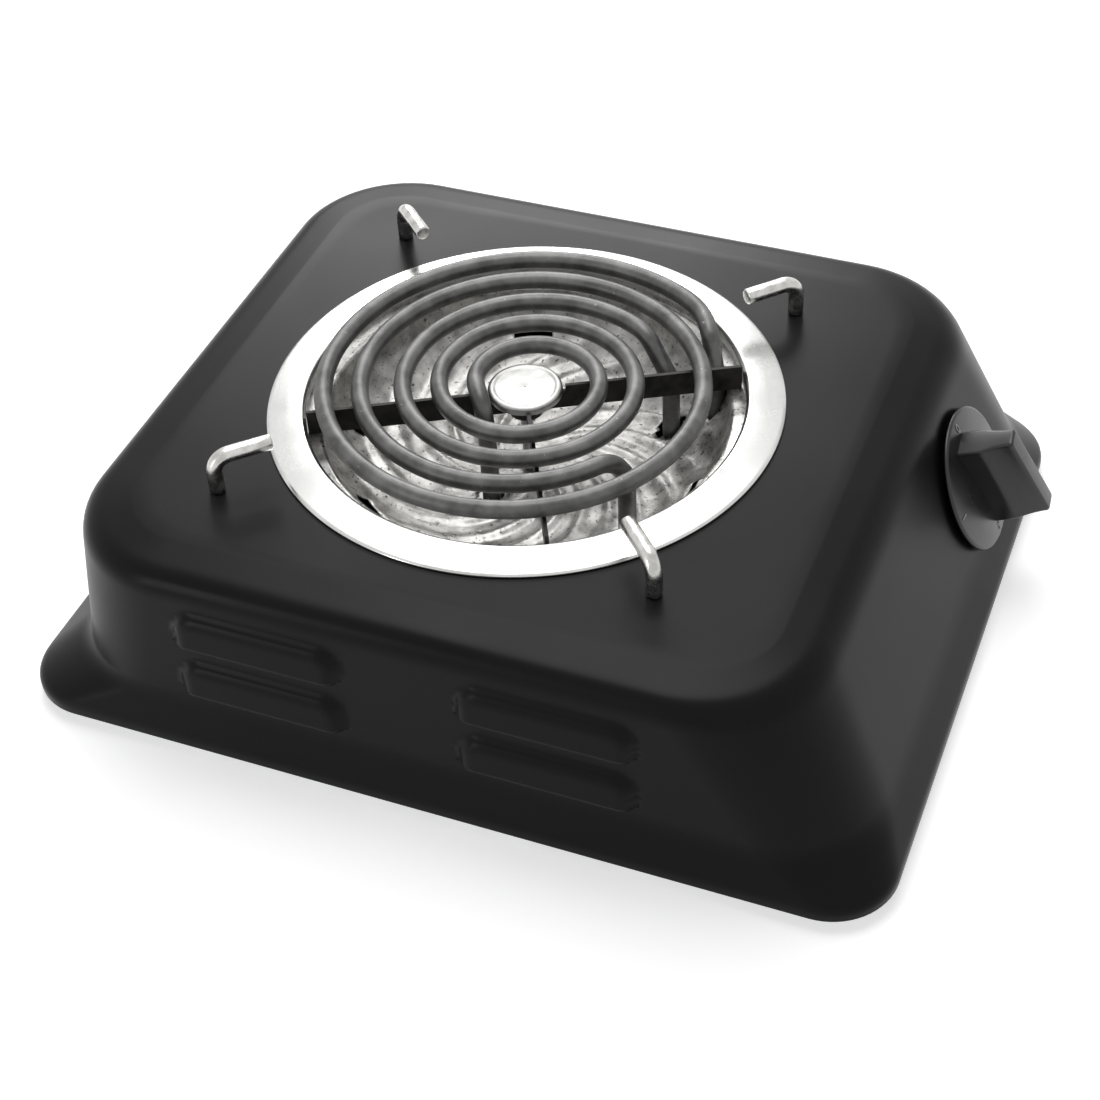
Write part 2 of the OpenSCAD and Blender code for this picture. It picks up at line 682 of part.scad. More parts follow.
grommet_d = 20;
cord_hole_d = 8;
module cord_grommet() color("#1a1a1a") translate([0, back_y(grommet_z), grommet_z]) rotate([-90, 0, 0]) {
    rotate_extrude($fn = 64) polygon([[cord_hole_d / 2, -5], [grommet_d / 2 - 1, -5], [grommet_d / 2, -4],
        [grommet_d / 2, -1.4], [grommet_hole_d / 2 - 0.1, -1.4], [grommet_hole_d / 2 - 0.1, 0.4],
        [grommet_d / 2, 0.4], [grommet_d / 2, 2.5], [grommet_d / 2 - 1.5, 4], [cord_hole_d / 2, 4]]);
}

clamp_half = 10;
module cord_clamp() color("#dedcd4") translate([0, clamp_y, lip_z]) difference() {
    translate([-clamp_half - 5, -6, 0]) cube([2 * clamp_half + 10, 12, 11]);
    translate([0, 0, 5.5]) rotate([90, 0, 0]) cylinder(d = cord_hole_d, h = 20, center = true);
    for (s = [-1, 1]) translate([s * clamp_half, 0, -1]) cylinder(d = 3, h = 20);
}

module cord_clamp_screws() color("#b9bbbd") {
    for (s = [-1, 1]) translate([s * clamp_half, clamp_y, lip_z]) {
        cylinder(d = 3, h = 11);
        translate([0, 0, 11]) cylinder(d = 5.5, h = 1.8);
    }
}

// ---- leads inside the body ----

lead_d = 2.4;
lead_sides = 8;
lead_rings = 18;

// Point of a cubic curve from p0 to p1, whose ends head along v0 and come in along -v1.
function curve(p0, v0, p1, v1, t) = pow(1 - t, 3) * p0 + 3 * pow(1 - t, 2) * t * (p0 + v0)
    + 3 * (1 - t) * t * t * (p1 + v1) + pow(t, 3) * p1;
function unit(v) = v / norm(v);

// Lead along such a curve. No stretch of it may run along the vector across.
module lead(p0, v0, p1, v1, across) {
    points = [for (i = [0:lead_rings]) let (
        t = i / lead_rings,
        way = i == 0 ? v0 : i == lead_rings ? -v1
            : curve(p0, v0, p1, v1, t + 0.01) - curve(p0, v0, p1, v1, t - 0.01),
        side = unit(cross(way, across)),
        top = cross(unit(way), side))
        for (j = [0:lead_sides - 1]) curve(p0, v0, p1, v1, t)
            + lead_d / 2 * (cos(360 * j / lead_sides) * side + sin(360 * j / lead_sides) * top)];
    tube_faces(points, lead_rings + 1, lead_sides);
}

function pin_foot(i) = let (p = tail_places[i]) [p[0], p[1], tail_end_z - bush_h - pin_l];
knob_in = [0, cos(wall_tilt), -sin(wall_tilt)];
knob_up = [0, sin(wall_tilt), cos(wall_tilt)];
function blade_end(a) = [knob_x, front_y(knob_z), knob_z] + (blade_out - switch_back) * knob_in
    + (blade_r - 0.1) * (cos(a) * [1, 0, 0] + sin(a) * knob_up);
function pole(i, side) =
    [terminal_x + i * terminal_pitch, terminal_y + side * (terminal_w / 2 - 3), lip_z + terminal_bore_z];
down = [0, 0, -18];

module live_lead() color("#6b3a1f") lead(blade_end(0), 50 * knob_in, pole(1, -1), [0, -60, 0], [1, 0, 0]);
module neutral_lead() color("#2c4a8a") lead(pin_foot(1), down, pole(0, -1), [0, -40, 0], [1, 0, 0]);
module neutral_link() color("#2c4a8a")
    lead(pin_foot(1) + [lead_d + clear, 0, 0], down, pin_foot(3), down, [0, 1, 0]);
module inner_tube_lead() color("#3a3a3a") lead(blade_end(180), 40 * knob_in, pin_foot(0), down, [1, 0, 0]);
module outer_tube_lead() color("#3a3a3a") lead(blade_end(90), 40 * knob_in, pin_foot(2), down, [1, 0, 0]);
module earth_lead() color("#4c8a3a") lead(earth_end, [0, -12, 0], pole(-1, 1), [0, 14, 0], [1, 0, 0]);
earth_end = [earth_x, back_y(earth_z) - 14, earth_z];

// Half the difference between the reach of the knob's grip in front and of the base at the back.
knob_reach = (skirt_gap + grip_h) * cos(wall_tilt) - front_y(knob_z)
    + (grip_l / 2 * cos(grip_turn) + grip_w / 2 * sin(grip_turn)) * sin(wall_tilt);
middle_shift = (knob_reach - base_back) / 2;
module placed() translate([0, middle_shift, 0]) children();

placed() body_shell();
placed() base_plate();
placed() base_screws();
placed() rubber_feet();
placed() trim_ring();
placed() drip_bowl();
placed() inner_heater_tube();
placed() outer_heater_tube();
placed() inner_tube_pins();
placed() outer_tube_pins();
placed() inner_pin_bushes();
placed() outer_pin_bushes();
placed() spider_bracket();
placed() centre_cap();
placed() centre_stud();
placed() centre_nut();
placed() pan_support_front_left();
placed() pan_support_front_right();
placed() pan_support_back_left();
placed() pan_support_back_right();
placed() pan_support_nuts();
placed() heat_knob();
placed() knob_grub_screw();
placed() switch_shaft();
placed() switch_cam();
placed() switch_body();
placed() switch_rear_cover();
placed() switch_contacts();
placed() switch_bush_nut();
placed() terminal_block();
placed() terminal_screws();
placed() terminal_block_screws();
placed() earth_stud();
placed() earth_nut();
placed() cord_grommet();
placed() cord_clamp();
placed() cord_clamp_screws();
placed() live_lead();
placed() neutral_lead();
placed() neutral_link();
placed() inner_tube_lead();
placed() outer_tube_lead();
placed() earth_lead();
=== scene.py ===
"""Looks of a single electric hot plate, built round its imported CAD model.

Lengths in the settings are in millimetres. The heater's axis stands at the middle of the trim ring.
"""

import json
import math

import bmesh
import bpy
import numpy as np
from mathutils import Matrix, Vector


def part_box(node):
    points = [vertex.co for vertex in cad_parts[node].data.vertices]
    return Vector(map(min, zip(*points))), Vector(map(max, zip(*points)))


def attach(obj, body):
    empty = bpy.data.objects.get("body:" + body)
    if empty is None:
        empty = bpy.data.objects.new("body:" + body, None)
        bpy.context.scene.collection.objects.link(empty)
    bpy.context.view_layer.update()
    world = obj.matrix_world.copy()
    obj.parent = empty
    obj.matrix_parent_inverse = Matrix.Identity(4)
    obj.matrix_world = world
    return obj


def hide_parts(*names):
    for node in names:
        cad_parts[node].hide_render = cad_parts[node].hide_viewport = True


bl_info = {
    "name": "Hot Plate Burner",
    "version": (1, 0, 0),
    "blender": (4, 5, 0),
    "location": "View3D > Sidebar > Hot Plate",
    "description": "Builds the looks of an electric hot plate round its CAD frame",
    "category": "Object",
}

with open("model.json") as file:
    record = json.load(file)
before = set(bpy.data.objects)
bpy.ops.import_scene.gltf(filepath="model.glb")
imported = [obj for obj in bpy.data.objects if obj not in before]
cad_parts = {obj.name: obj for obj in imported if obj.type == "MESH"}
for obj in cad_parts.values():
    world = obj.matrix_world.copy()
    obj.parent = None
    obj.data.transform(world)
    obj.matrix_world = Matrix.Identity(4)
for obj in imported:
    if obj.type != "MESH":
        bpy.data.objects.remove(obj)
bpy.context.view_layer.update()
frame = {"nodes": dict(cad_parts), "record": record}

MM = 0.001


def corners(node):
    """Lowest and highest corner of a CAD node, in millimetres."""
    low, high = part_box(node)
    return np.array(low) / MM, np.array(high) / MM


RING_LOW, RING_HIGH = corners("trim_ring")
SHELL_LOW, SHELL_HIGH = corners("body_shell")
AXIS_Y = (RING_LOW[1] + RING_HIGH[1]) / 2
PANEL_Z = SHELL_HIGH[2]
JOINT = frame["record"]["behaviour"]["joints"][0]
KNOB_AT = np.array(JOINT["pos_m"]) / MM
KNOB_OUT = np.array(JOINT["axis"]) / np.linalg.norm(JOINT["axis"])


# ---- settings ----

class BodySettings(bpy.types.PropertyGroup):
    """Sizes of the pressed steel body, from the heater's axis."""

    top_half: bpy.props.FloatProperty(
        name="Top half width", description="Half the width at the top", default=141)
    top_front: bpy.props.FloatProperty(
        name="Top front", description="Axis to the front wall's top", default=157)
    top_back: bpy.props.FloatProperty(
        name="Top back", description="Axis to the back wall's top", default=147.5)
    top_radius: bpy.props.FloatProperty(name="Top corner", description="Corner radius at the top", default=50)
    foot_half: bpy.props.FloatProperty(
        name="Foot half width", description="Half the width at the wall's foot", default=143)
    foot_front: bpy.props.FloatProperty(
        name="Foot front", description="Axis to the front wall's foot", default=183)
    foot_back: bpy.props.FloatProperty(
        name="Foot back", description="Axis to the back wall's foot", default=149.5)
    foot_radius: bpy.props.FloatProperty(
        name="Foot corner", description="Corner radius at the wall's foot", default=40)
    foot_height: bpy.props.FloatProperty(
        name="Foot height", description="Wall's foot above the lip's edge", default=21)
    lip_height: bpy.props.FloatProperty(name="Lip", description="Height of the turned-down lip", default=5.5)
    base_radius: bpy.props.FloatProperty(
        name="Base corner", description="Corner radius of the base", default=27)
    crown_inset: bpy.props.FloatProperty(
        name="Crown inset", description="Width of the sloping border", default=21)
    crown_drop: bpy.props.FloatProperty(
        name="Crown drop", description="Fall of the sloping border", default=3.2)
    edge_radius: bpy.props.FloatProperty(
        name="Edge radius", description="Rounding between panel and wall", default=9)
    louvre_length: bpy.props.FloatProperty(
        name="Louvre length", description="Length of one louvre", default=69)
    louvre_height: bpy.props.FloatProperty(
        name="Louvre height", description="Height of one louvre", default=15)
    louvre_out: bpy.props.FloatProperty(
        name="Louvre depth", description="How far a louvre stands out", default=5)
    louvre_gap: bpy.props.FloatProperty(
        name="Louvre gap", description="Gap between the two columns", default=48)
    louvre_mid: bpy.props.FloatProperty(
        name="Louvre middle", description="Middle of the louvres to the front", default=4)
    louvre_low: bpy.props.FloatProperty(
        name="Lower slit", description="Lower slit above the lip's edge", default=30)
    louvre_pitch: bpy.props.FloatProperty(
        name="Louvre pitch", description="Distance between the rows", default=25)
    colour: bpy.props.StringProperty(
        name="Paint", description="Powder coat colour, sRGB hex", default="#08080A")


class HeaterSettings(bpy.types.PropertyGroup):
    """Sizes of the spiral heater and what holds it."""

    tube: bpy.props.FloatProperty(name="Tube", description="Diameter of the heater tube", default=7.4)
    pitch: bpy.props.FloatProperty(name="Pitch", description="Spacing of the turns", default=14.8)
    start_radius: bpy.props.FloatProperty(
        name="Start radius", description="Spiral's radius at angle zero", default=21.9)
    rise: bpy.props.FloatProperty(name="Rise", description="Tube's axis above the panel", default=9)
    bend: bpy.props.FloatProperty(name="Bend", description="Bend radius of a tube's end", default=12)
    tuck: bpy.props.FloatProperty(
        name="Tuck", description="Bend radius of the outer end's last stretch", default=40)
    colour: bpy.props.StringProperty(
        name="Sheath", description="Oxidised sheath colour, sRGB hex", default="#727271")


class KnobSettings(bpy.types.PropertyGroup):
    """Sizes of the knob."""

    skirt: bpy.props.FloatProperty(name="Skirt", description="Diameter of the skirt", default=60)
    off_wall: bpy.props.FloatProperty(
        name="Gap", description="Gap between the skirt and the wall", default=1.5)
    grip_height: bpy.props.FloatProperty(
        name="Grip height", description="Grip above the skirt's back", default=26)
    grip_length: bpy.props.FloatProperty(name="Grip length", description="Length at the top", default=43)
    grip_foot: bpy.props.FloatProperty(name="Grip foot", description="Length at the foot", default=44)
    grip_width: bpy.props.FloatProperty(name="Grip width", description="Width at the top", default=9)
    grip_turn: bpy.props.FloatProperty(
        name="Grip turn", description="Turn from upright in degrees", default=12)
    colour: bpy.props.StringProperty(
        name="Plastic", description="Moulded phenolic colour, sRGB hex", default="#0C0C0D")
    mark: bpy.props.StringProperty(
        name="Marks", description="Colour of the printed numbers", default="#B9B9B6")


SETTINGS = {"hp_body": BodySettings, "hp_heater": HeaterSettings, "hp_knob": KnobSettings}


# ---- materials ----

def rgb(code):
    """Turns an sRGB hex code to linear RGBA."""
    parts = [int(code[i:i + 2], 16) / 255 for i in (1, 3, 5)]
    return tuple(c / 12.92 if c <= 0.04045 else ((c + 0.055) / 1.055) ** 2.4 for c in parts) + (1.0,)


def add(tree, kind, links=(), **values):
    """Adds one node: values set its properties or inputs, links join (output, input name) pairs."""
    node = tree.nodes.new(kind)
    for name, value in values.items():
        key = name.replace("_", " ").title()
        if hasattr(node, name) and name != "scale":
            setattr(node, name, value)
        else:
            node.inputs[key].default_value = value
    for output, name in links:
        tree.links.new(output, node.inputs[name])
    return node


def material(name, colour, metallic, roughness):
    """New material with one Principled shader. Returns the material, its tree and the shader."""
    mat = bpy.data.materials.new(name)
    mat.use_nodes = True
    shader = mat.node_tree.nodes["Principled BSDF"]
    shader.inputs["Base Color"].default_value = rgb(colour)
    shader.inputs["Metallic"].default_value = metallic
    shader.inputs["Roughness"].default_value = roughness
    return mat, mat.node_tree, shader


def mottled(name, dark, light, metallic, rough_low, rough_high, patch_mm, grain_mm, bump):
    """Material whose colour and roughness drift over patches, with a fine grain in its relief.

    patch_mm and grain_mm are the real widths of one patch and one grain.
    """
    mat, tree, shader = material(name, light, metallic, (rough_low + rough_high) / 2)
    place = add(tree, "ShaderNodeTexCoord")
    patch = add(tree, "ShaderNodeTexNoise", [(place.outputs["Object"], "Vector")],
                scale=1 / (patch_mm * MM), detail=5)
    grain = add(tree, "ShaderNodeTexNoise", [(place.outputs["Object"], "Vector")],
                scale=1 / (grain_mm * MM), detail=3)
    ramp = add(tree, "ShaderNodeValToRGB", [(patch.outputs["Fac"], "Fac")])
    ramp.color_ramp.elements[0].position = 0.35
    ramp.color_ramp.elements[1].position = 0.68
    ramp.color_ramp.elements[0].color = rgb(dark)
    ramp.color_ramp.elements[1].color = rgb(light)
    tree.links.new(ramp.outputs["Color"], shader.inputs["Base Color"])
    spread = add(tree, "ShaderNodeMapRange", [(patch.outputs["Fac"], "Value")],
                 from_min=0.3, from_max=0.7, to_min=rough_low, to_max=rough_high)
    tree.links.new(spread.outputs["Result"], shader.inputs["Roughness"])
    relief = add(tree, "ShaderNodeBump", [(grain.outputs["Fac"], "Height")], strength=bump, distance=0.2 * MM)
    tree.links.new(relief.outputs["Normal"], shader.inputs["Normal"])
    return mat


def paint():
    """Satin black powder coat, sprayed and baked: an even dark film with a fine orange peel."""
    colour = bpy.context.scene.hp_body.colour
    mat = mottled("satin_black_powder_coat", "#050506", colour, 0, 0.28, 0.36, 60, 0.9, 0.05)
    mat.node_tree.nodes["Principled BSDF"].inputs["Specular IOR Level"].default_value = 0.12
    return mat


def turned_steel():
    """Stainless steel strip, polished while it spins: fine rings that stretch each highlight."""
    mat, tree, shader = material("polished_stainless", "#CACAC8", 1, 0.24)
    place = add(tree, "ShaderNodeTexCoord")
    centred = add(tree, "ShaderNodeMapping", [(place.outputs["Object"], "Vector")])
    centred.inputs["Location"].default_value = (0, -AXIS_Y * MM, 0)
    axes = add(tree, "ShaderNodeSeparateXYZ", [(centred.outputs["Vector"], "Vector")])
    flat = add(tree, "ShaderNodeCombineXYZ", [(axes.outputs["X"], "X"), (axes.outputs["Y"], "Y")])
    radius = add(tree, "ShaderNodeVectorMath", operation="LENGTH")
    tree.links.new(flat.outputs["Vector"], radius.inputs[0])
    ring_mm = 0.7           # width of one polishing ring
    rings = add(tree, "ShaderNodeTexNoise", [(radius.outputs["Value"], "W")],
                noise_dimensions="1D", scale=1 / (ring_mm * MM), detail=4)
    smudge = add(tree, "ShaderNodeTexNoise", [(place.outputs["Object"], "Vector")],
                 scale=1 / (28 * MM), detail=6, roughness=0.62)
    dull = add(tree, "ShaderNodeMapRange", [(smudge.outputs["Fac"], "Value")],
               from_min=0.35, from_max=0.7, to_min=0.17, to_max=0.36)
    tree.links.new(dull.outputs["Result"], shader.inputs["Roughness"])
    tone = add(tree, "ShaderNodeValToRGB", [(smudge.outputs["Fac"], "Fac")])
    tone.color_ramp.elements[0].position = 0.38
    tone.color_ramp.elements[1].position = 0.62
    tone.color_ramp.elements[0].color = rgb("#D6D6D4")
    tone.color_ramp.elements[1].color = rgb("#BCBCBA")
    tree.links.new(tone.outputs["Color"], shader.inputs["Base Color"])
    relief = add(tree, "ShaderNodeBump", [(rings.outputs["Fac"], "Height")],
                 strength=0.10, distance=0.05 * MM)
    tree.links.new(relief.outputs["Normal"], shader.inputs["Normal"])
    return mat


def speckle(mat, width_mm, detail, start, full, colour):
    """Lays spots of one colour over a mottled material, wherever a noise of this width climbs past start."""
    tree = mat.node_tree
    shader = tree.nodes["Principled BSDF"]
    ramp = next(n for n in tree.nodes if n.bl_idname == "ShaderNodeValToRGB")
    place = next(n for n in tree.nodes if n.bl_idname == "ShaderNodeTexCoord")
    spots = add(tree, "ShaderNodeTexNoise", [(place.outputs["Object"], "Vector")],
                scale=1 / (width_mm * MM), detail=detail)
    few = add(tree, "ShaderNodeMapRange", [(spots.outputs["Fac"], "Value")], from_min=start, from_max=full)
    blend = add(tree, "ShaderNodeMix", data_type="RGBA")
    tree.links.new(few.outputs["Result"], blend.inputs[0])
    tree.links.new(ramp.outputs["Color"], blend.inputs[6])
    blend.inputs[7].default_value = rgb(colour)
    tree.links.new(blend.outputs[2], shader.inputs["Base Color"])
    return mat


def sheath():
    """Nickel alloy sheath after firing: a matt grey oxide, darker in patches, with pale scuffs."""
    colour = bpy.context.scene.hp_heater.colour
    mat = mottled("oxidised_heater_sheath", "#4E4E4D", colour, 0.5, 0.34, 0.46, 9, 0.6, 0.2)
    return speckle(mat, 2.2, 2, 0.72, 0.78, "#9C9B98")


def aluminised():
    """Hot-dip aluminised steel: bright spangle, gone dull and freckled by spills and heat."""
    mat = mottled("aluminised_steel", "#A5A4A1", "#E4E3E0", 0.9, 0.26, 0.46, 7, 1.4, 0.4)
    return speckle(mat, 1.6, 4, 0.60, 0.70, "#55524E")


def phenolic():
    """Compression-moulded phenolic: near black, a soft gloss and a faint flow texture."""
    colour = bpy.context.scene.hp_knob.colour
    return mottled("black_phenolic", "#08080A", colour, 0, 0.26, 0.34, 14, 0.8, 0.06)


def plated_rod():
    """Bright nickel-plated rod with faint drawing lines and rubbed patches."""
    return mottled("nickel_plated_rod", "#B5B4B1", "#DAD9D6", 1, 0.16, 0.34, 5, 0.5, 0.12)


def stamped_cap():
    """Stamped stainless cap, tumbled to a satin finish."""
    return mottled("satin_stamped_steel", "#8F8F8D", "#A9A9A7", 1, 0.34, 0.46, 6, 0.4, 0.3)


def dark_strip():
    """Mild steel strip, blued and scaled by heat."""
    return mottled("heat_scaled_strip", "#1C1B1B", "#3B3938", 0.7, 0.45, 0.65, 6, 0.7, 0.4)


# Each finish: material name, dark, light, metallic, lowest and highest roughness, patch mm, grain mm, bump.
PLAIN = {
    "zinc": ("zinc_plated_steel", "#9A9C9E", "#C3C5C7", 1, 0.28, 0.42, 12, 0.8, 0.15),
    "pins": ("nickel_terminal_pin", "#8E8A80", "#B8B3A6", 1, 0.3, 0.45, 4, 0.4, 0.15),
    "ceramic": ("unglazed_steatite", "#DAD4C3", "#EEEADF", 0, 0.6, 0.75, 6, 0.4, 0.3),
    "resin": ("brown_phenolic", "#2A1D15", "#47352A", 0, 0.4, 0.5, 10, 0.6, 0.12),
    "brass": ("plain_brass", "#B08A3E", "#D2B062", 1, 0.25, 0.4, 6, 0.5, 0.12),
    "rubber": ("moulded_black_rubber", "#0E0E0E", "#1A1A1A", 0, 0.62, 0.78, 8, 0.5, 0.35),
    "nylon": ("natural_nylon", "#D8D6CC", "#EBE9E1", 0, 0.4, 0.52, 10, 0.6, 0.12),
    "brown_sleeve": ("brown_glass_braid", "#4A2814", "#7A4A2A", 0, 0.6, 0.75, 3, 0.5, 0.6),
    "blue_sleeve": ("blue_glass_braid", "#1E3566", "#3C5C9C", 0, 0.6, 0.75, 3, 0.5, 0.6),
    "grey_sleeve": ("grey_glass_braid", "#6B6864", "#94908A", 0, 0.6, 0.75, 3, 0.5, 0.6),
    "green_sleeve": ("green_glass_braid", "#2F6A2C", "#6A9A3C", 0, 0.6, 0.75, 3, 0.5, 0.6),
}

NODE_FINISH = {
    "zinc": ("base_plate", "base_screws", "centre_stud", "centre_nut", "pan_support_nuts", "switch_bush_nut",
             "knob_grub_screw", "terminal_block_screws", "cord_clamp_screws", "switch_shaft"),
    "pins": ("inner_tube_pins", "outer_tube_pins"),
    "ceramic": ("inner_pin_bushes", "outer_pin_bushes", "terminal_block"),
    "resin": ("switch_body", "switch_rear_cover", "switch_cam"),
    "brass": ("switch_contacts", "terminal_screws", "earth_stud", "earth_nut"),
    "rubber": ("rubber_feet", "cord_grommet"),
    "nylon": ("cord_clamp",),
    "brown_sleeve": ("live_lead",),
    "blue_sleeve": ("neutral_lead", "neutral_link"),
    "grey_sleeve": ("inner_tube_lead", "outer_tube_lead"),
    "green_sleeve": ("earth_lead",),
}


def any_ray(tree, kinds):
    """Output that is 1 for a ray of any of these kinds and 0 for the others."""
    rays = add(tree, "ShaderNodeLightPath")
    seen = rays.outputs[kinds[0]]
    for kind in kinds[1:]:
        most = add(tree, "ShaderNodeMath", operation="MAXIMUM")
        tree.links.new(seen, most.inputs[0])
        tree.links.new(rays.outputs[kind], most.inputs[1])
        seen = most.outputs[0]
    return seen


# ---- meshes ----

def new_piece(name, points, faces, mat, body):
    """Makes a mesh object from points in millimetres, with its place in its mesh, and lets it ride."""
    mesh = bpy.data.meshes.new(name)
    mesh.from_pydata((np.asarray(points) * MM).tolist(), [], faces)
    mesh.validate()
    mesh.polygons.foreach_set("use_smooth", [True] * len(mesh.polygons))
    mesh.materials.append(mat)
    piece = bpy.data.objects.new(name, mesh)
    bpy.context.collection.objects.link(piece)
    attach(piece, body)
    return piece


def grid_faces(rows, columns, wrap_rows=False):
    """Quads of a grid of points stored row by row. Each row closes on itself, and so may the whole stack."""
    r = np.arange(rows if wrap_rows else rows - 1)
    c = np.arange(columns)
    rr, cc = np.meshgrid(r, c, indexing="ij")
    r2, c2 = (rr + 1) % rows, (cc + 1) % columns
    quads = np.stack([rr * columns + cc, rr * columns + c2, r2 * columns + c2, r2 * columns + cc], axis=-1)
    return quads.reshape(-1, 4)


def lathe(name, profile, mat, body, centre, sides):
    """Turns a closed profile of (radius, height) points about an upright axis into a solid."""
    profile = np.asarray(profile, float)
    turn = np.linspace(0, 2 * np.pi, sides, endpoint=False)
    points = np.stack([
        centre[0] + profile[:, :1] * np.cos(turn), centre[1] + profile[:, :1] * np.sin(turn),
        np.repeat(profile[:, 1:], sides, axis=1)], axis=-1).reshape(-1, 3)
    faces = grid_faces(len(profile), sides, wrap_rows=True).tolist()
    piece = new_piece(name, points, faces, mat, body)
    tidy_normals(piece)
    return piece


def tidy_normals(piece):
    """Merges doubled points and turns every face outwards."""
    work = bmesh.new()
    work.from_mesh(piece.data)
    bmesh.ops.remove_doubles(work, verts=work.verts, dist=1e-7)
    bmesh.ops.recalc_face_normals(work, faces=work.faces)
    work.to_mesh(piece.data)
    work.free()


def rounded(profile, radius, steps=5):
    """Rounds each corner of a closed profile with a quadratic curve that starts radius before it."""
    pts = np.asarray(profile, float)
    before, after = np.roll(pts, 1, axis=0), np.roll(pts, -1, axis=0)
    back, on = before - pts, after - pts
    len_back = np.linalg.norm(back, axis=1, keepdims=True)
    len_on = np.linalg.norm(on, axis=1, keepdims=True)
    p0 = pts + back / len_back * np.minimum(radius, len_back * 0.45)
    p1 = pts + on / len_on * np.minimum(radius, len_on * 0.45)
    t = np.linspace(0, 1, steps)[None, :, None]
    curve = (1 - t) ** 2 * p0[:, None] + 2 * t * (1 - t) * pts[:, None] + t ** 2 * p1[:, None]
    return curve.reshape(-1, 2)


def swept(name, path, diameter, mat, body, sides=28):
    """Round tube along path, with a small rounding at each cut end.

    Each ring stands square to the path, turned least from the one before.
    """
    path = np.asarray(path, float)
    way = np.gradient(path, axis=0)
    way /= np.linalg.norm(way, axis=1, keepdims=True)
    side = np.cross(way[0], (0.3, 0.2, 1.0))
    rings = []
    turn = np.linspace(0, 2 * np.pi, sides, endpoint=False)[:, None]
    for point, ahead in zip(path, way):
        side = side - ahead * side.dot(ahead)
        side /= np.linalg.norm(side)
        up = np.cross(ahead, side)
        rings.append((point, ahead, side, up))
    radius = diameter / 2

    def ring(place, inset, shift):
        point, ahead, across, up = place
        return point + ahead * shift + (radius - inset) * (np.cos(turn) * across + np.sin(turn) * up)

    bevel = 0.12 * diameter
    first = [ring(rings[0], bevel * (1 - math.sin(a)), bevel * (1 - math.cos(a))) for a in (0.0, 0.5, 1.0)]
    last = [ring(rings[-1], bevel * (1 - math.sin(a)), -bevel * (1 - math.cos(a))) for a in (1.0, 0.5, 0.0)]
    inner = [ring(place, 0, 0) for place in rings[1:-1]]
    points = np.concatenate(first + inner + last)
    rows = len(points) // sides
    faces = grid_faces(rows, sides).tolist()
    faces.append(list(range(sides - 1, -1, -1)))
    faces.append([(rows - 1) * sides + j for j in range(sides)])
    piece = new_piece(name, points, faces, mat, body)
    tidy_normals(piece)
    return piece


# ---- body ----

SHEET = 0.9             # thickness of the body's sheet
SIDE_COLUMNS = 120      # points along a side wall, close enough for the louvres
END_COLUMNS = 41        # points along the front wall and along the back wall
CORNER_STEPS = 16       # steps round one corner
SLIT_STEP = 0.6         # height over which the sheet falls back below a louvre


def body_stations(s):
    """Key outlines of the body from the panel to the hem: half width, front, back, corner radius, height."""
    lip_z = SHELL_LOW[2]
    base_half = SHELL_HIGH[0]
    base_front = AXIS_Y - SHELL_LOW[1]
    base_back = SHELL_HIGH[1] - AXIS_Y
    foot_z = lip_z + s.foot_height
    edge_z = PANEL_Z - 2.5 - s.edge_radius
    sharp_z = PANEL_Z - s.crown_drop
    rise = (sharp_z - foot_z) / (edge_z - foot_z)
    inset = s.crown_inset
    leave_front = s.top_front - s.edge_radius * (1 - math.sin(math.radians(60)))
    leave_z = edge_z + s.edge_radius * 0.5
    sharp_front = s.foot_front + (leave_front - s.foot_front) * (sharp_z - foot_z) / (leave_z - foot_z)
    hem = 12
    return np.array([
        [s.top_half - inset, s.top_front - inset, s.top_back - inset, s.top_radius - inset, PANEL_Z],
        [s.foot_half + (s.top_half - s.foot_half) * rise, sharp_front,
         s.foot_back + (s.top_back - s.foot_back) * rise, s.top_radius, sharp_z],
        [s.foot_half, s.foot_front, s.foot_back, s.foot_radius, foot_z],
        [base_half, base_front, base_back, s.base_radius, lip_z + s.lip_height],
        [base_half, base_front, base_back, s.base_radius, lip_z],
        [base_half - hem, base_front - hem, base_back - hem, s.base_radius - hem, lip_z],
    ])


def station_length(a, b):
    """Length between two stations, measured on the side wall."""
    return math.hypot(b[0] - a[0], b[4] - a[4])


def slit_heights(s):
    """Heights of the lower and the upper row of slits."""
    lip_z = SHELL_LOW[2]
    return [lip_z + s.louvre_low, lip_z + s.louvre_low + s.louvre_pitch]


def body_rows(s):
    """Rows of outlines: straight runs between rounded corners, with rows placed for the louvres."""
    st = body_stations(s)
    blend = [0, s.edge_radius * 1.02, 4.5, 2.2, 1.2, 0]
    rows = [st[0]]
    for i in range(1, len(st)):
        a, b = st[i - 1], st[i]
        length = station_length(a, b)
        t0 = blend[i - 1] / length
        t1 = 1 - blend[i] / length
        start, end = a + (b - a) * t0, a + (b - a) * t1
        if i == 2:
            heights = wall_heights(s, start[4], end[4])
            for z in heights:
                rows.append(a + (b - a) * (z - a[4]) / (b[4] - a[4]))
        else:
            for t in np.linspace(t0, t1, 5 if i != 1 else 9)[1 if i == 1 else 0:]:
                rows.append(a + (b - a) * t)
        if i < len(st) - 1:
            c = st[i + 1]
            on = b + (c - b) * blend[i] / station_length(b, c)
            for t in np.linspace(0, 1, 12 if i < 3 else 6)[1:-1]:
                rows.append((1 - t) ** 2 * end + 2 * t * (1 - t) * b + t * t * on)
    return np.array(rows)


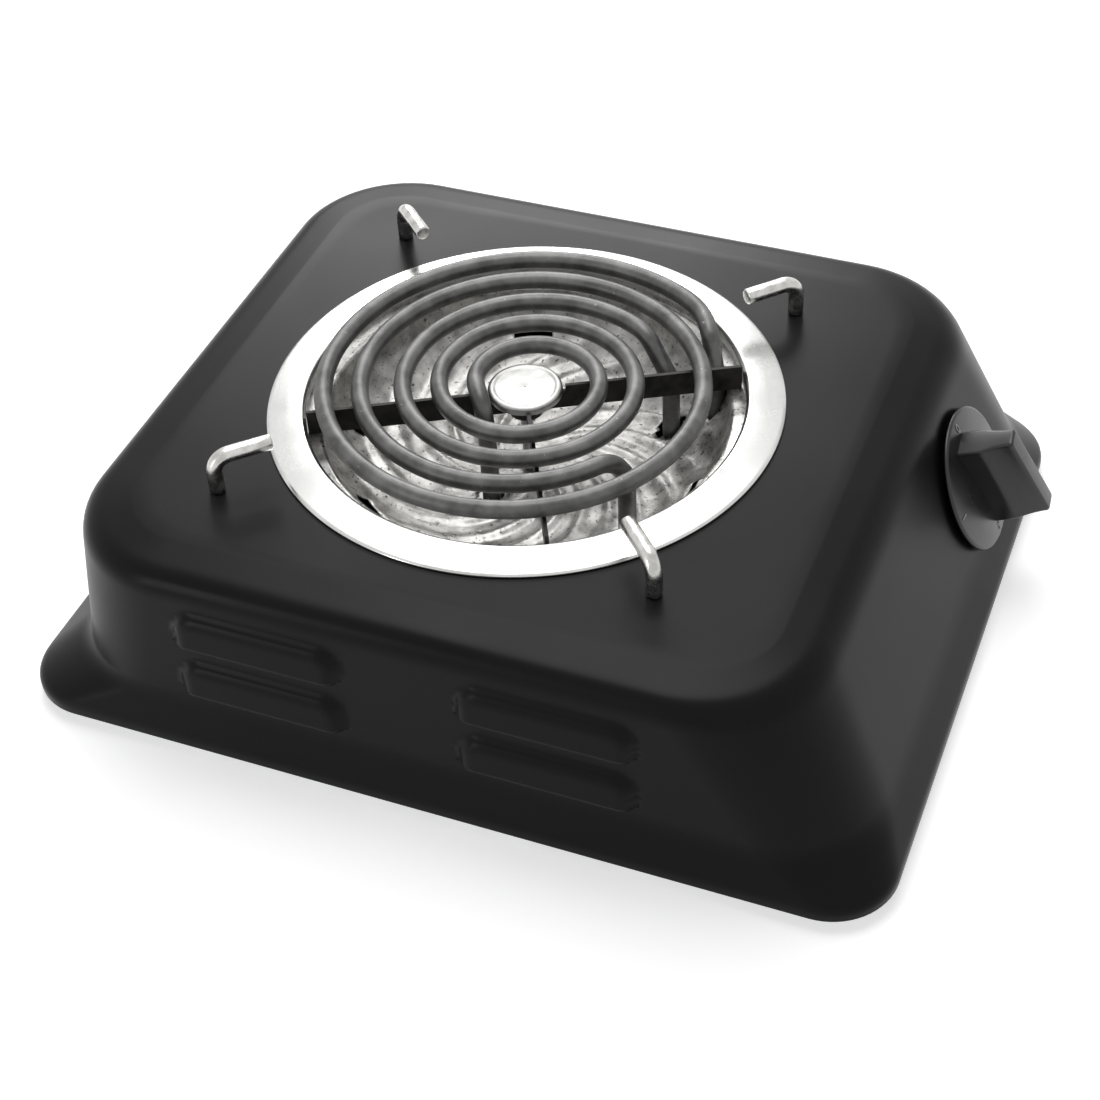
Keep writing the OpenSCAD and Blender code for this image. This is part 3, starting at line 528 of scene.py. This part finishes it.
def wall_heights(s, top, bottom):
    """Heights of the wall's rows, from top to bottom: close over each louvre, doubled at its slit."""
    low, high = slit_heights(s)
    crown = high + s.louvre_height
    parts = [np.linspace(top, crown, 3)[:-1] if top > crown else np.array([top])]
    start = min(top, crown)
    parts.append(np.linspace(start, high, 15)[1 if top <= crown else 0:])
    parts.append(np.array([high - SLIT_STEP]))
    parts.append(np.linspace(high - 2, low + s.louvre_height, 5))
    parts.append(np.linspace(low + s.louvre_height, low, 15)[1:])
    parts.append(np.array([low - SLIT_STEP]))
    parts.append(np.linspace(low - 1.2, bottom, 4))
    z = np.concatenate(parts)
    return z[np.concatenate([[True], np.diff(z) < -1e-6])]


def outline_points(row):
    """Points round one outline, counter-clockwise from the right side's front end: runs and arcs in turn."""
    hw, front, back, r, z = row
    turn = np.radians(np.linspace(0, 90, CORNER_STEPS + 1)[1:-1])
    cos, sin = np.cos(turn), np.sin(turn)
    sides = np.linspace(0, 1, SIDE_COLUMNS)
    ends = np.linspace(0, 1, END_COLUMNS)
    long_y = (r - front) + (front + back - 2 * r) * sides
    wide_x = (hw - r) - 2 * (hw - r) * ends
    x = np.concatenate([np.full(SIDE_COLUMNS, hw), hw - r + r * cos, wide_x, r - hw - r * sin,
                        np.full(SIDE_COLUMNS, -hw), r - hw - r * cos, -wide_x, hw - r + r * sin])
    y = np.concatenate([long_y, back - r + r * sin, np.full(END_COLUMNS, back), back - r + r * cos,
                        long_y[::-1], r - front - r * sin, np.full(END_COLUMNS, -front), r - front - r * cos])
    return np.stack([x, y, np.full(len(x), z)], axis=1)


def louvre_proud(s, y, z):
    """How far the wall is pressed out at (y, z).

    Each louvre is a box with rounded upper corners that stands on its slit. Inside it the sheet rises from
    the outline along a quarter ellipse over a short shoulder, and then leans out evenly to the slit.
    """
    corner, shoulder = 9.0, 5.5
    out = np.zeros_like(y)
    for side in (-1, 1):
        middle = -s.louvre_mid + side * (s.louvre_gap + s.louvre_length) / 2
        for slit in slit_heights(s):
            along = np.abs(y - middle) - (s.louvre_length / 2 - corner)
            up = (z - slit) - (s.louvre_height - corner)
            inside = corner - np.hypot(np.maximum(along, 0), np.maximum(up, 0)) - np.minimum(
                np.maximum(along, up), 0)
            share = np.clip(inside / shoulder, 0, 1)
            lean = 0.72 + 0.28 * np.clip(1 - (z - slit) / s.louvre_height, 0, 1)
            bump = (s.louvre_out - 0.3) * np.sqrt(1 - (1 - share) ** 2) * lean
            out = np.maximum(out, np.where((z - slit > -1e-4) & (inside > 0), bump, 0))
    return out


class HOTPLATE_OT_body(bpy.types.Operator):
    """Presses the steel body: panel with its round hole, crowned edge, louvred walls, flange and lip."""
    bl_idname = "hotplate.body"
    bl_label = "Body"

    def execute(self, context):
        s = context.scene.hp_body
        rows = body_rows(s)
        rings = [outline_points(row) for row in rows]
        # The panel runs from the round hole to the first outline, whose points lie on rays from the axis.
        hole = 94.5         # radius of the round hole, hidden by the trim ring
        fold = 1.2          # height of the edge folded down round it
        first = rings[0]
        angle = np.arctan2(first[:, 1], first[:, 0])
        circle = np.stack([hole * np.cos(angle), hole * np.sin(angle), np.full(len(first), PANEL_Z)], axis=1)
        lip = circle - np.array([0, 0, fold])
        panel = [circle + (first - circle) * t for t in np.linspace(0, 1, 9)[:-1]]
        grid = np.stack([lip] + panel + rings)
        columns = grid.shape[1]
        # Louvres are pressed out of the two side walls, along X.
        x, y, z = grid[..., 0], grid[..., 1], grid[..., 2]
        wall = (z < PANEL_Z - 5) & (z > SHELL_LOW[2] + s.foot_height + 2)
        reach = s.louvre_gap / 2 + s.louvre_length + abs(s.louvre_mid) + 15
        wall &= (np.abs(x) > s.top_half - 11) & (np.abs(y) < reach)
        proud = np.where(wall, louvre_proud(s, y, z), 0)
        grid[..., 0] = x + np.sign(x) * proud
        grid[..., 1] += AXIS_Y
        faces = grid_faces(grid.shape[0], columns)[:, ::-1]
        # Each slit is left open where the pressed-out row stands over the flat one below it.
        flat_proud = proud.reshape(-1)
        over = flat_proud[faces].max(axis=1)
        under = flat_proud[faces].min(axis=1)
        heights = z.reshape(-1)[faces]
        thin = (heights.max(axis=1) - heights.min(axis=1)) < SLIT_STEP + 0.1
        keep = ~((over > 0.5) & (under < 1e-6) & thin)
        piece = new_piece("body_pressing", grid.reshape(-1, 3), faces[keep].tolist(), paint(), "base")
        thick = piece.modifiers.new("Sheet", "SOLIDIFY")
        thick.thickness = SHEET * MM
        thick.offset = -1
        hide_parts("body_shell")
        return {"FINISHED"}


# ---- ring and bowl ----

class HOTPLATE_OT_ring(bpy.types.Operator):
    """Rolls the stainless trim ring, slightly conical, with both edges turned down."""
    bl_idname = "hotplate.ring"
    bl_label = "Trim ring"

    def execute(self, context):
        low, high = corners("trim_ring")
        outer = (high[0] - low[0]) / 2
        inner = 89.0        # inside radius of the ring
        t = 0.8             # its sheet
        top = high[2]
        base = PANEL_Z
        mid = (outer + inner) / 2
        outside = [(outer, base + 0.05), (outer, base + 1.0), (outer - 1.0, base + 1.6), (mid, base + 2.5),
                   (inner + 1.4, top), (inner, top - 1.2), (inner, low[2] + 0.05)]
        inside = [(inner + t, low[2] + 0.05), (inner + t, top - 1.6), (inner + 1.9, top - t),
                  (mid, base + 2.5 - t), (outer - 1.4, base + 1.6 - t), (outer - t, base + 0.05)]
        ring = lathe("rolled_trim_ring", rounded(outside + inside, 0.45), turned_steel(), "base",
                     (0, AXIS_Y), sides=240)
        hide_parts("trim_ring")
        return {"FINISHED"}


def tube_paths(h):
    """Centre lines of the inner and outer heater tube, in millimetres.

    A tube lies on the spiral r = start + pitch * angle / 360, leaves it in a straight line, slopes down
    under the next turn and ends upright. Each end is given as the angle at which it leaves the spiral, the
    dip of its slope and the tighter turn before it in degrees, with the slope's length as the third number.
    """
    z = PANEL_Z + h.rise
    end_z = corners("inner_heater_tube")[0][2]
    inner_shift, outer_shift = np.array([-0.2, -1.5 + AXIS_Y, z]), np.array([-0.6, 1 + AXIS_Y, z])
    inner = tube_path(h, (-30, 60, 2, 0), (842, 45, 12, 0), inner_shift, end_z)
    outer = tube_path(h, (940, 60, 3, 0), (1560, 45, 10, 30), outer_shift, end_z)
    return inner, outer


def spiral_point(h, f):
    """Point on the flat spiral at the clockwise angle f from +Y, and the way along it."""
    a = np.radians(f)
    r = h.start_radius + h.pitch * f / 360
    out = np.array([np.sin(a), np.cos(a), 0 * a])
    grow = h.pitch / (2 * np.pi)
    ahead = np.array([np.cos(a), -np.sin(a), 0 * a]) * r + out * grow
    return r * out, ahead / np.linalg.norm(ahead, axis=0)


def tube_end(h, f, sense, dip, run, tuck, end_z, height):
    """Points along one tube end after it leaves the spiral at angle f."""
    start, ahead = spiral_point(h, f)
    point, heading = start.copy(), math.atan2(ahead[1], ahead[0]) + (math.pi if sense < 0 else 0)
    points = []
    step = 1.0
    turned = 0.0
    while turned < math.radians(tuck) - 1e-9:
        turn = min(step / h.tuck, math.radians(tuck) - turned)
        heading -= turn / 2
        point = point + h.tuck * turn * np.array([math.cos(heading), math.sin(heading), 0])
        heading -= turn / 2
        turned += turn
        points.append(point)
    level = np.array([math.cos(heading), math.sin(heading), 0])
    slope = 0.0
    for goal, straight in ((dip, run), (90, None)):
        goal = math.radians(goal)
        count = max(int(h.bend * (goal - slope) / step), 4)
        for i in range(count):
            middle = slope + (goal - slope) * (i + 0.5) / count
            way = level * math.cos(middle) - np.array([0, 0, math.sin(middle)])
            point = point + way * h.bend * (goal - slope) / count
            points.append(point)
        slope = goal
        way = level * math.cos(slope) - np.array([0, 0, math.sin(slope)])
        length = straight if straight is not None else point[2] + height - end_z
        count = max(int(length / 2), 2)
        for i in range(count):
            point = point + way * length / count
            points.append(point)
    return np.array(points)


def tube_path(h, first, last, shift, end_z):
    """Whole centre line of one tube from its first end to its last."""
    angles = np.linspace(first[0], last[0], int((last[0] - first[0]) / 3) + 1)
    turns = spiral_point(h, angles)[0].T
    head = tube_end(h, first[0], -1, first[1], first[2], first[3], end_z, shift[2])
    tail = tube_end(h, last[0], 1, last[1], last[2], last[3], end_z, shift[2])
    return np.concatenate([head[::-1], turns, tail]) + shift


class HOTPLATE_OT_bowl(bpy.types.Operator):
    """Presses the drip bowl: a rounded dish with curved ribs, a ledge, and holes for the tube ends."""
    bl_idname = "hotplate.bowl"
    bl_label = "Drip bowl"

    def execute(self, context):
        h = context.scene.hp_heater
        low, high = corners("drip_bowl")
        floor_z = low[2] + 0.8
        rim_in = 90.3
        ledge_z = PANEL_Z + h.rise - h.tube / 2 - 11.3
        ledge_in = rim_in - 7.2
        flat_r = 42.0       # radius of the flat floor
        hole_r = 3.2        # radius of the stud's hole
        floor = [(r, floor_z) for r in np.linspace(hole_r, flat_r - 1, 20)]
        curve = [(flat_r + (ledge_in - flat_r) * math.sin(a), ledge_z - (ledge_z - floor_z) * math.cos(a))
                 for a in np.linspace(0.02, math.pi / 2, 26)]
        rim = [(ledge_in + 1.5, ledge_z + 0.05), (rim_in - 1, ledge_z + 0.2), (rim_in - 0.1, ledge_z + 1),
               (rim_in, ledge_z + 3), (rim_in, PANEL_Z - 0.6), (rim_in + 0.2, PANEL_Z + 0.35),
               (rim_in + 1, PANEL_Z + 0.5), (98.6, PANEL_Z + 0.5)]
        profile = np.array(floor + curve + rim)
        sides = 420
        turn = np.linspace(0, 2 * np.pi, sides, endpoint=False)
        r = profile[:, :1]
        z = np.repeat(profile[:, 1:], sides, axis=1)
        # Curved ribs: ridges along spirals that sweep from the floor to the ledge.
        ribs, rib_height, fade = 16, 1.7, 14
        phase = ribs * (turn[None, :] + r / 38)
        share = np.clip((r - fade) / fade, 0, 1) * np.clip((ledge_in - 2 - r) / fade, 0, 1)
        ridge = np.maximum(np.cos(phase), 0) ** 1.5
        z = z + rib_height * share * ridge
        points = np.stack([r * np.cos(turn), AXIS_Y + r * np.sin(turn), z], axis=-1)
        faces = grid_faces(len(profile), sides)[:, ::-1]
        middles = points.reshape(-1, 3)[faces].mean(axis=1)
        keep = np.ones(len(faces), bool)
        for path in tube_paths(h):
            for foot in (path[0], path[-1]):
                away = np.hypot(middles[:, 0] - foot[0], middles[:, 1] - foot[1])
                keep &= ~((away < h.tube / 2 + 2.2) & (middles[:, 2] < PANEL_Z - 4))
        # Slots between the floor and the ledge, where the spider's feet hook in.
        polar = np.degrees(np.arctan2(middles[:, 1] - AXIS_Y, middles[:, 0]))
        radius = np.hypot(middles[:, 0], middles[:, 1] - AXIS_Y)
        slot_half, slot_from, slot_to = 6.5, 70, 75.5
        for middle in (-95, -35, 20, 95, 140, -150):
            off = (polar - middle + 180) % 360 - 180
            keep &= ~((np.abs(off) < slot_half) & (radius > slot_from) & (radius < slot_to))
        mat = aluminised()
        bowl = new_piece("pressed_drip_bowl", points.reshape(-1, 3), faces[keep].tolist(), mat, "base")
        thick = bowl.modifiers.new("Sheet", "SOLIDIFY")
        thick.thickness = 0.5 * MM
        thick.offset = -1
        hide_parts("drip_bowl")
        return {"FINISHED"}


# ---- heater ----

class HOTPLATE_OT_heater(bpy.types.Operator):
    """Bends the two sheathed heater tubes."""
    bl_idname = "hotplate.heater"
    bl_label = "Heater tubes"

    def execute(self, context):
        h = context.scene.hp_heater
        mat = sheath()
        for name, path in zip(("inner_heater_tube", "outer_heater_tube"), tube_paths(h)):
            tube = swept("bent_" + name, path, h.tube, mat, "base")
            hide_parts(name)
        return {"FINISHED"}


class HOTPLATE_OT_cap(bpy.types.Operator):
    """Stamps the bare round cap at the heater's middle, with a shallow rim and a dished face."""
    bl_idname = "hotplate.cap"
    bl_label = "Centre cap"

    def execute(self, context):
        low, high = corners("centre_cap")
        radius = (high[0] - low[0]) / 2
        top, base = high[2], low[2]
        profile = [(0.01, base), (radius - 0.8, base), (radius, base + 0.8), (radius, top - 1.6),
                   (radius - 0.35, top - 0.6), (radius - 1.2, top - 0.08), (radius - 2.2, top - 0.05),
                   (radius - 3.2, top - 0.5), (radius - 6, top - 0.62), (0.01, top - 0.62)]
        cap = lathe("stamped_centre_cap", rounded(profile, 0.5, 4)[2:-2], stamped_cap(), "base",
                    (0, AXIS_Y), sides=128)
        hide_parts("centre_cap")
        return {"FINISHED"}


# ---- pan supports ----

class HOTPLATE_OT_supports(bpy.types.Operator):
    """Bends the four pan supports from plated rod: an upright leg and an arm that points at the heater."""
    bl_idname = "hotplate.supports"
    bl_label = "Pan supports"

    def execute(self, context):
        mat = plated_rod()
        rod, thread, bend, rise, reach = 6.5, 5.2, 7.0, 16.0, 24.0
        for name in ("front_left", "front_right", "back_left", "back_right"):
            node = "pan_support_" + name
            low, high = corners(node)
            # The leg is at the corner of the node's box that lies away from the heater.
            sx = -1 if "left" in name else 1
            sy = -1 if "front" in name else 1
            leg = np.array([(low[0] if sx < 0 else high[0]) - sx * rod / 2,
                            (low[1] if sy < 0 else high[1]) - sy * rod / 2])
            to_axis = np.array([-leg[0], AXIS_Y - leg[1]])
            to_axis /= np.linalg.norm(to_axis)
            t = np.linspace(0, np.pi / 2, 15)[1:-1]
            out = np.concatenate([[0, 0, 0, 0], bend * (1 - np.cos(t)),
                                  [bend, (bend + reach) / 2, reach - 0.5, reach]])
            up = np.concatenate([[-1.1, 0.0, 3, rise - bend], rise - bend + bend * np.sin(t), [rise] * 4])
            path = np.stack([leg[0] + out * to_axis[0], leg[1] + out * to_axis[1], PANEL_Z + up], axis=1)
            piece = swept("bent_" + node, path[1:], rod, mat, "base", sides=32)
            stem = [(leg[0], leg[1], low[2]), (leg[0], leg[1], low[2] + 4), (leg[0], leg[1], PANEL_Z - 2),
                    (leg[0], leg[1], PANEL_Z - 0.05)]
            screw = swept("stem_" + node, stem, thread, mat, "base", sides=24)
            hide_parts(node)
            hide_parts(node)
        return {"FINISHED"}


# ---- knob ----

def knob_axes():
    """Right, up-the-wall and outward directions at the knob."""
    right = np.array([1.0, 0, 0])
    up = np.cross(KNOB_OUT, right)
    return right, up, KNOB_OUT


def from_knob(points):
    """Places points given along the knob's right, up and outward directions."""
    right, up, out = knob_axes()
    points = np.asarray(points, float)
    return KNOB_AT + points[:, :1] * right + points[:, 1:2] * up + points[:, 2:] * out


class HOTPLATE_OT_knob(bpy.types.Operator):
    """Moulds the knob: a round skirt with a bar grip whose sides are scooped, and prints its four numbers."""
    bl_idname = "hotplate.knob"
    bl_label = "Heat knob"

    def execute(self, context):
        k = context.scene.hp_knob
        mat = phenolic()
        # The skirt is a lathed disc, a little domed.
        r = k.skirt / 2
        z0 = k.off_wall
        profile = np.array([(0.01, z0), (r - 0.6, z0), (r, z0 + 0.6), (r - 0.1, z0 + 1.5),
                            (r - 1.0, z0 + 2.1), (r * 0.5, z0 + 3.7), (0.01, z0 + 4.1)])
        profile = rounded(profile, 0.4, 4)[2:-2]
        sides = 128
        turn = np.linspace(0, 2 * np.pi, sides, endpoint=False)
        ring = np.stack([profile[:, :1] * np.cos(turn), profile[:, :1] * np.sin(turn),
                         np.repeat(profile[:, 1:], sides, axis=1)], axis=-1).reshape(-1, 3)
        faces = grid_faces(len(profile), sides, wrap_rows=True)
        skirt = new_piece("knob_skirt", from_knob(ring), faces.tolist(), mat, "control_knob")
        tidy_normals(skirt)
        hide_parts("heat_knob")
        grip = self.grip(k, mat, z0)
        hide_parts("heat_knob")
        self.numbers(k, z0)
        return {"FINISHED"}

    def grip(self, k, mat, z0):
        """Bar grip: at each height a rounded bar, whose half width follows a circular scoop to the foot."""
        scoop = 40.0            # radius of the scoop in each side
        widest = 6.5            # half the grip's width at its foot
        soft = 1.2              # rounding of the top edge
        corner = 1.4            # rounding of the upright edges
        sunk = 2.2              # height at which the grip starts, inside the skirt
        count = 22
        bend = np.radians([20, 45, 70, 90])
        levels = np.concatenate([np.linspace(sunk, k.grip_height - soft, count),
                                 k.grip_height - soft + soft * np.sin(bend)])
        edge = np.concatenate([np.zeros(count), soft * (1 - np.cos(bend))])
        drop = np.clip(k.grip_height - 1 - levels, 0, scoop * 0.999)
        half = k.grip_width / 2 + scoop - np.sqrt(scoop ** 2 - drop ** 2)
        half = np.minimum(half, widest) - edge
        length = k.grip_foot / 2 + (k.grip_length - k.grip_foot) / 2 * levels / k.grip_height - edge
        steps = np.radians(np.linspace(0, 90, 7))
        shapes = []
        for hx, hy, z in zip(half, length, levels):
            c = np.stack([np.cos(steps), np.sin(steps)], axis=1) * corner
            quads = []
            for sx, sy, flip in ((1, 1, False), (-1, 1, True), (-1, -1, False), (1, -1, True)):
                arc = c * (sx, sy) + (sx * (hx - corner), sy * (hy - corner))
                quads.append(arc[::-1] if flip else arc)
            flat = np.concatenate(quads)
            shapes.append(np.column_stack([flat, np.full(len(flat), z)]))
        a = math.radians(k.grip_turn)
        points = np.concatenate(shapes)
        turned = np.column_stack([points[:, 0] * math.cos(a) - points[:, 1] * math.sin(a),
                                  points[:, 0] * math.sin(a) + points[:, 1] * math.cos(a), points[:, 2] + z0])
        columns = len(shapes[0])
        faces = grid_faces(len(shapes), columns).tolist()
        faces.append(list(range(columns - 1, -1, -1)))
        faces.append([(len(shapes) - 1) * columns + j for j in range(columns)])
        grip = new_piece("knob_grip", from_knob(turned), faces, mat, "control_knob")
        tidy_normals(grip)
        return grip

    def numbers(self, k, z0):
        """Numbers 0 to 3 every quarter turn, each a thin print on the skirt."""
        ink = mottled("printed_mark", "#9A9A97", k.mark, 0, 0.5, 0.6, 3, 0.4, 0.1)
        right, up, out = knob_axes()
        basis = Matrix((right, up, out)).transposed().to_4x4()
        radius, height = 25.5, 2.75         # place of a number's middle on the skirt
        fall = math.radians(-6.5)           # slope of the skirt there
        for value in range(4):
            text = bpy.data.curves.new("mark", "FONT")
            text.body = str(value)
            text.size = 5.5 * MM
            text.align_x = "CENTER"
            text.align_y = "CENTER"
            text.extrude = 0.05 * MM
            text.resolution_u = 6
            holder = bpy.data.objects.new("mark", text)
            bpy.context.collection.objects.link(holder)
            mesh = bpy.data.meshes.new_from_object(holder)
            bpy.data.objects.remove(holder)
            a = math.radians(90 * value)
            spot = KNOB_AT + (up * math.cos(a) - right * math.sin(a)) * radius + out * (z0 + height)
            place = Vector(spot * MM)
            lean = Matrix.Rotation(a, 4, Vector(out))
            tilt = Matrix.Rotation(fall, 4, "X")
            mesh.transform(Matrix.Translation(place) @ lean @ basis @ tilt)
            mesh.materials.clear()
            mesh.materials.append(ink)
            mark = bpy.data.objects.new(f"knob_mark_{value}", mesh)
            bpy.context.collection.objects.link(mark)
            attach(mark, "control_knob")


# ---- finish of the CAD pieces that stay ----

class HOTPLATE_OT_finishes(bpy.types.Operator):
    """Gives each CAD piece that stays its own finish."""
    bl_idname = "hotplate.finishes"
    bl_label = "Other finishes"

    def execute(self, context):
        for kind, nodes in NODE_FINISH.items():
            mat = mottled(*PLAIN[kind])
            for node in nodes:
                self.dress(node, mat)
        self.dress("spider_bracket", dark_strip())
        return {"FINISHED"}

    def dress(self, node, mat):
        """Puts one material in every slot of a CAD node."""
        mesh = frame["nodes"][node].data
        if not mesh.materials:
            mesh.materials.append(mat)
        for i in range(len(mesh.materials)):
            mesh.materials[i] = mat


# ---- stage ----

class HOTPLATE_OT_stage(bpy.types.Operator):
    """Lays the floor, hangs the lamps and stands the camera."""
    bl_idname = "hotplate.stage"
    bl_label = "Stage"

    def execute(self, context):
        scene = context.scene
        scene.view_settings.view_transform = "Standard"
        self.floor()
        self.world(scene)
        self.lamps()
        self.camera(scene)
        return {"FINISHED"}

    def floor(self):
        """Pale floor that keeps soft shadows. Seen straight or in a gloss, it is lifted to white."""
        size = 6.0
        corners_xy = [(-size, -size, 0), (size, -size, 0), (size, size, 0), (-size, size, 0)]
        mesh = bpy.data.meshes.new("floor")
        mesh.from_pydata(corners_xy, [], [(0, 1, 2, 3)])
        mat, tree, shader = material("pale_floor", "#E6E6E6", 0, 0.9)
        seen = any_ray(tree, ("Is Camera Ray", "Is Glossy Ray"))
        lift = add(tree, "ShaderNodeMath", operation="MULTIPLY")
        tree.links.new(seen, lift.inputs[0])
        lift.inputs[1].default_value = 0.55
        shader.inputs["Emission Color"].default_value = (1, 1, 1, 1)
        tree.links.new(lift.outputs[0], shader.inputs["Emission Strength"])
        mesh.materials.append(mat)
        floor = bpy.data.objects.new("floor", mesh)
        bpy.context.collection.objects.link(floor)

    def world(self, scene):
        """Background that looks white, and lights the object more softly than it looks."""
        world = bpy.data.worlds.new("studio")
        scene.world = world
        world.use_nodes = True
        tree = world.node_tree
        tree.nodes.clear()
        mix = add(tree, "ShaderNodeMixShader")
        seen = any_ray(tree, ("Is Camera Ray", "Is Glossy Ray", "Is Transmission Ray"))
        tree.links.new(seen, mix.inputs[0])
        for i, strength in enumerate((0.30, 1.0)):
            glow = add(tree, "ShaderNodeBackground")
            glow.inputs["Color"].default_value = (1, 1, 1, 1)
            glow.inputs["Strength"].default_value = strength
            tree.links.new(glow.outputs[0], mix.inputs[i + 1])
        out = add(tree, "ShaderNodeOutputWorld")
        tree.links.new(mix.outputs[0], out.inputs["Surface"])

    def lamps(self):
        """Hangs three rectangular lamps. Each row: name, place, aim, width and height in metres, watts."""
        rigs = (
            ("top_softbox", (0.45, 0.2, 1.5), (0, 0, 0.08), 1.0, 1.0, 13),
            ("back_softbox", (1.5, 0.7, 0.9), (0, 0, 0.06), 0.9, 0.6, 13),
            ("side_strip", (-1.5, 0.9, 0.55), (0, 0, 0.05), 0.15, 0.9, 3),
        )
        for name, place, aim, width, height, power in rigs:
            light = bpy.data.lights.new(name, "AREA")
            light.shape = "RECTANGLE"
            light.size, light.size_y = width, height
            light.energy = power
            lamp = bpy.data.objects.new(name, light)
            lamp.location = place
            lamp.rotation_euler = (Vector(aim) - Vector(place)).to_track_quat("-Z", "Y").to_euler()
            bpy.context.collection.objects.link(lamp)

    def camera(self, scene):
        """Camera at the height and side from which the hot plate is seen, knob to the right."""
        data = bpy.data.cameras.new("camera")
        data.lens = 70.43
        data.sensor_width = 36
        camera = bpy.data.objects.new("camera", data)
        camera.location = Vector((-620.2, -276.8 + AXIS_Y, 549.9 + PANEL_Z)) * MM
        camera.rotation_euler = [math.radians(turn) for turn in (46.914, 2.382, -68.706)]
        bpy.context.collection.objects.link(camera)
        scene.camera = camera


class HOTPLATE_PT_panel(bpy.types.Panel):
    """Lists the hot plate's pieces in the sidebar."""
    bl_idname = "HOTPLATE_PT_panel"
    bl_label = "Hot Plate"
    bl_space_type = "VIEW_3D"
    bl_region_type = "UI"
    bl_category = "Hot Plate"

    def draw(self, context):
        for operator in PIECES:
            self.layout.operator(operator.bl_idname)


PIECES = (HOTPLATE_OT_body, HOTPLATE_OT_ring, HOTPLATE_OT_bowl, HOTPLATE_OT_heater, HOTPLATE_OT_cap,
          HOTPLATE_OT_supports, HOTPLATE_OT_knob, HOTPLATE_OT_finishes, HOTPLATE_OT_stage)


def register():
    for cls in (*SETTINGS.values(), *PIECES, HOTPLATE_PT_panel):
        bpy.utils.register_class(cls)
    for name, cls in SETTINGS.items():
        setattr(bpy.types.Scene, name, bpy.props.PointerProperty(type=cls))


def unregister():
    for name in SETTINGS:
        delattr(bpy.types.Scene, name)
    for cls in (HOTPLATE_PT_panel, *reversed(PIECES), *SETTINGS.values()):
        bpy.utils.unregister_class(cls)


def main():
    register()
    for operator in PIECES:
        getattr(bpy.ops.hotplate, operator.bl_idname.split(".")[1])()


if __name__ == "__main__":
    main()
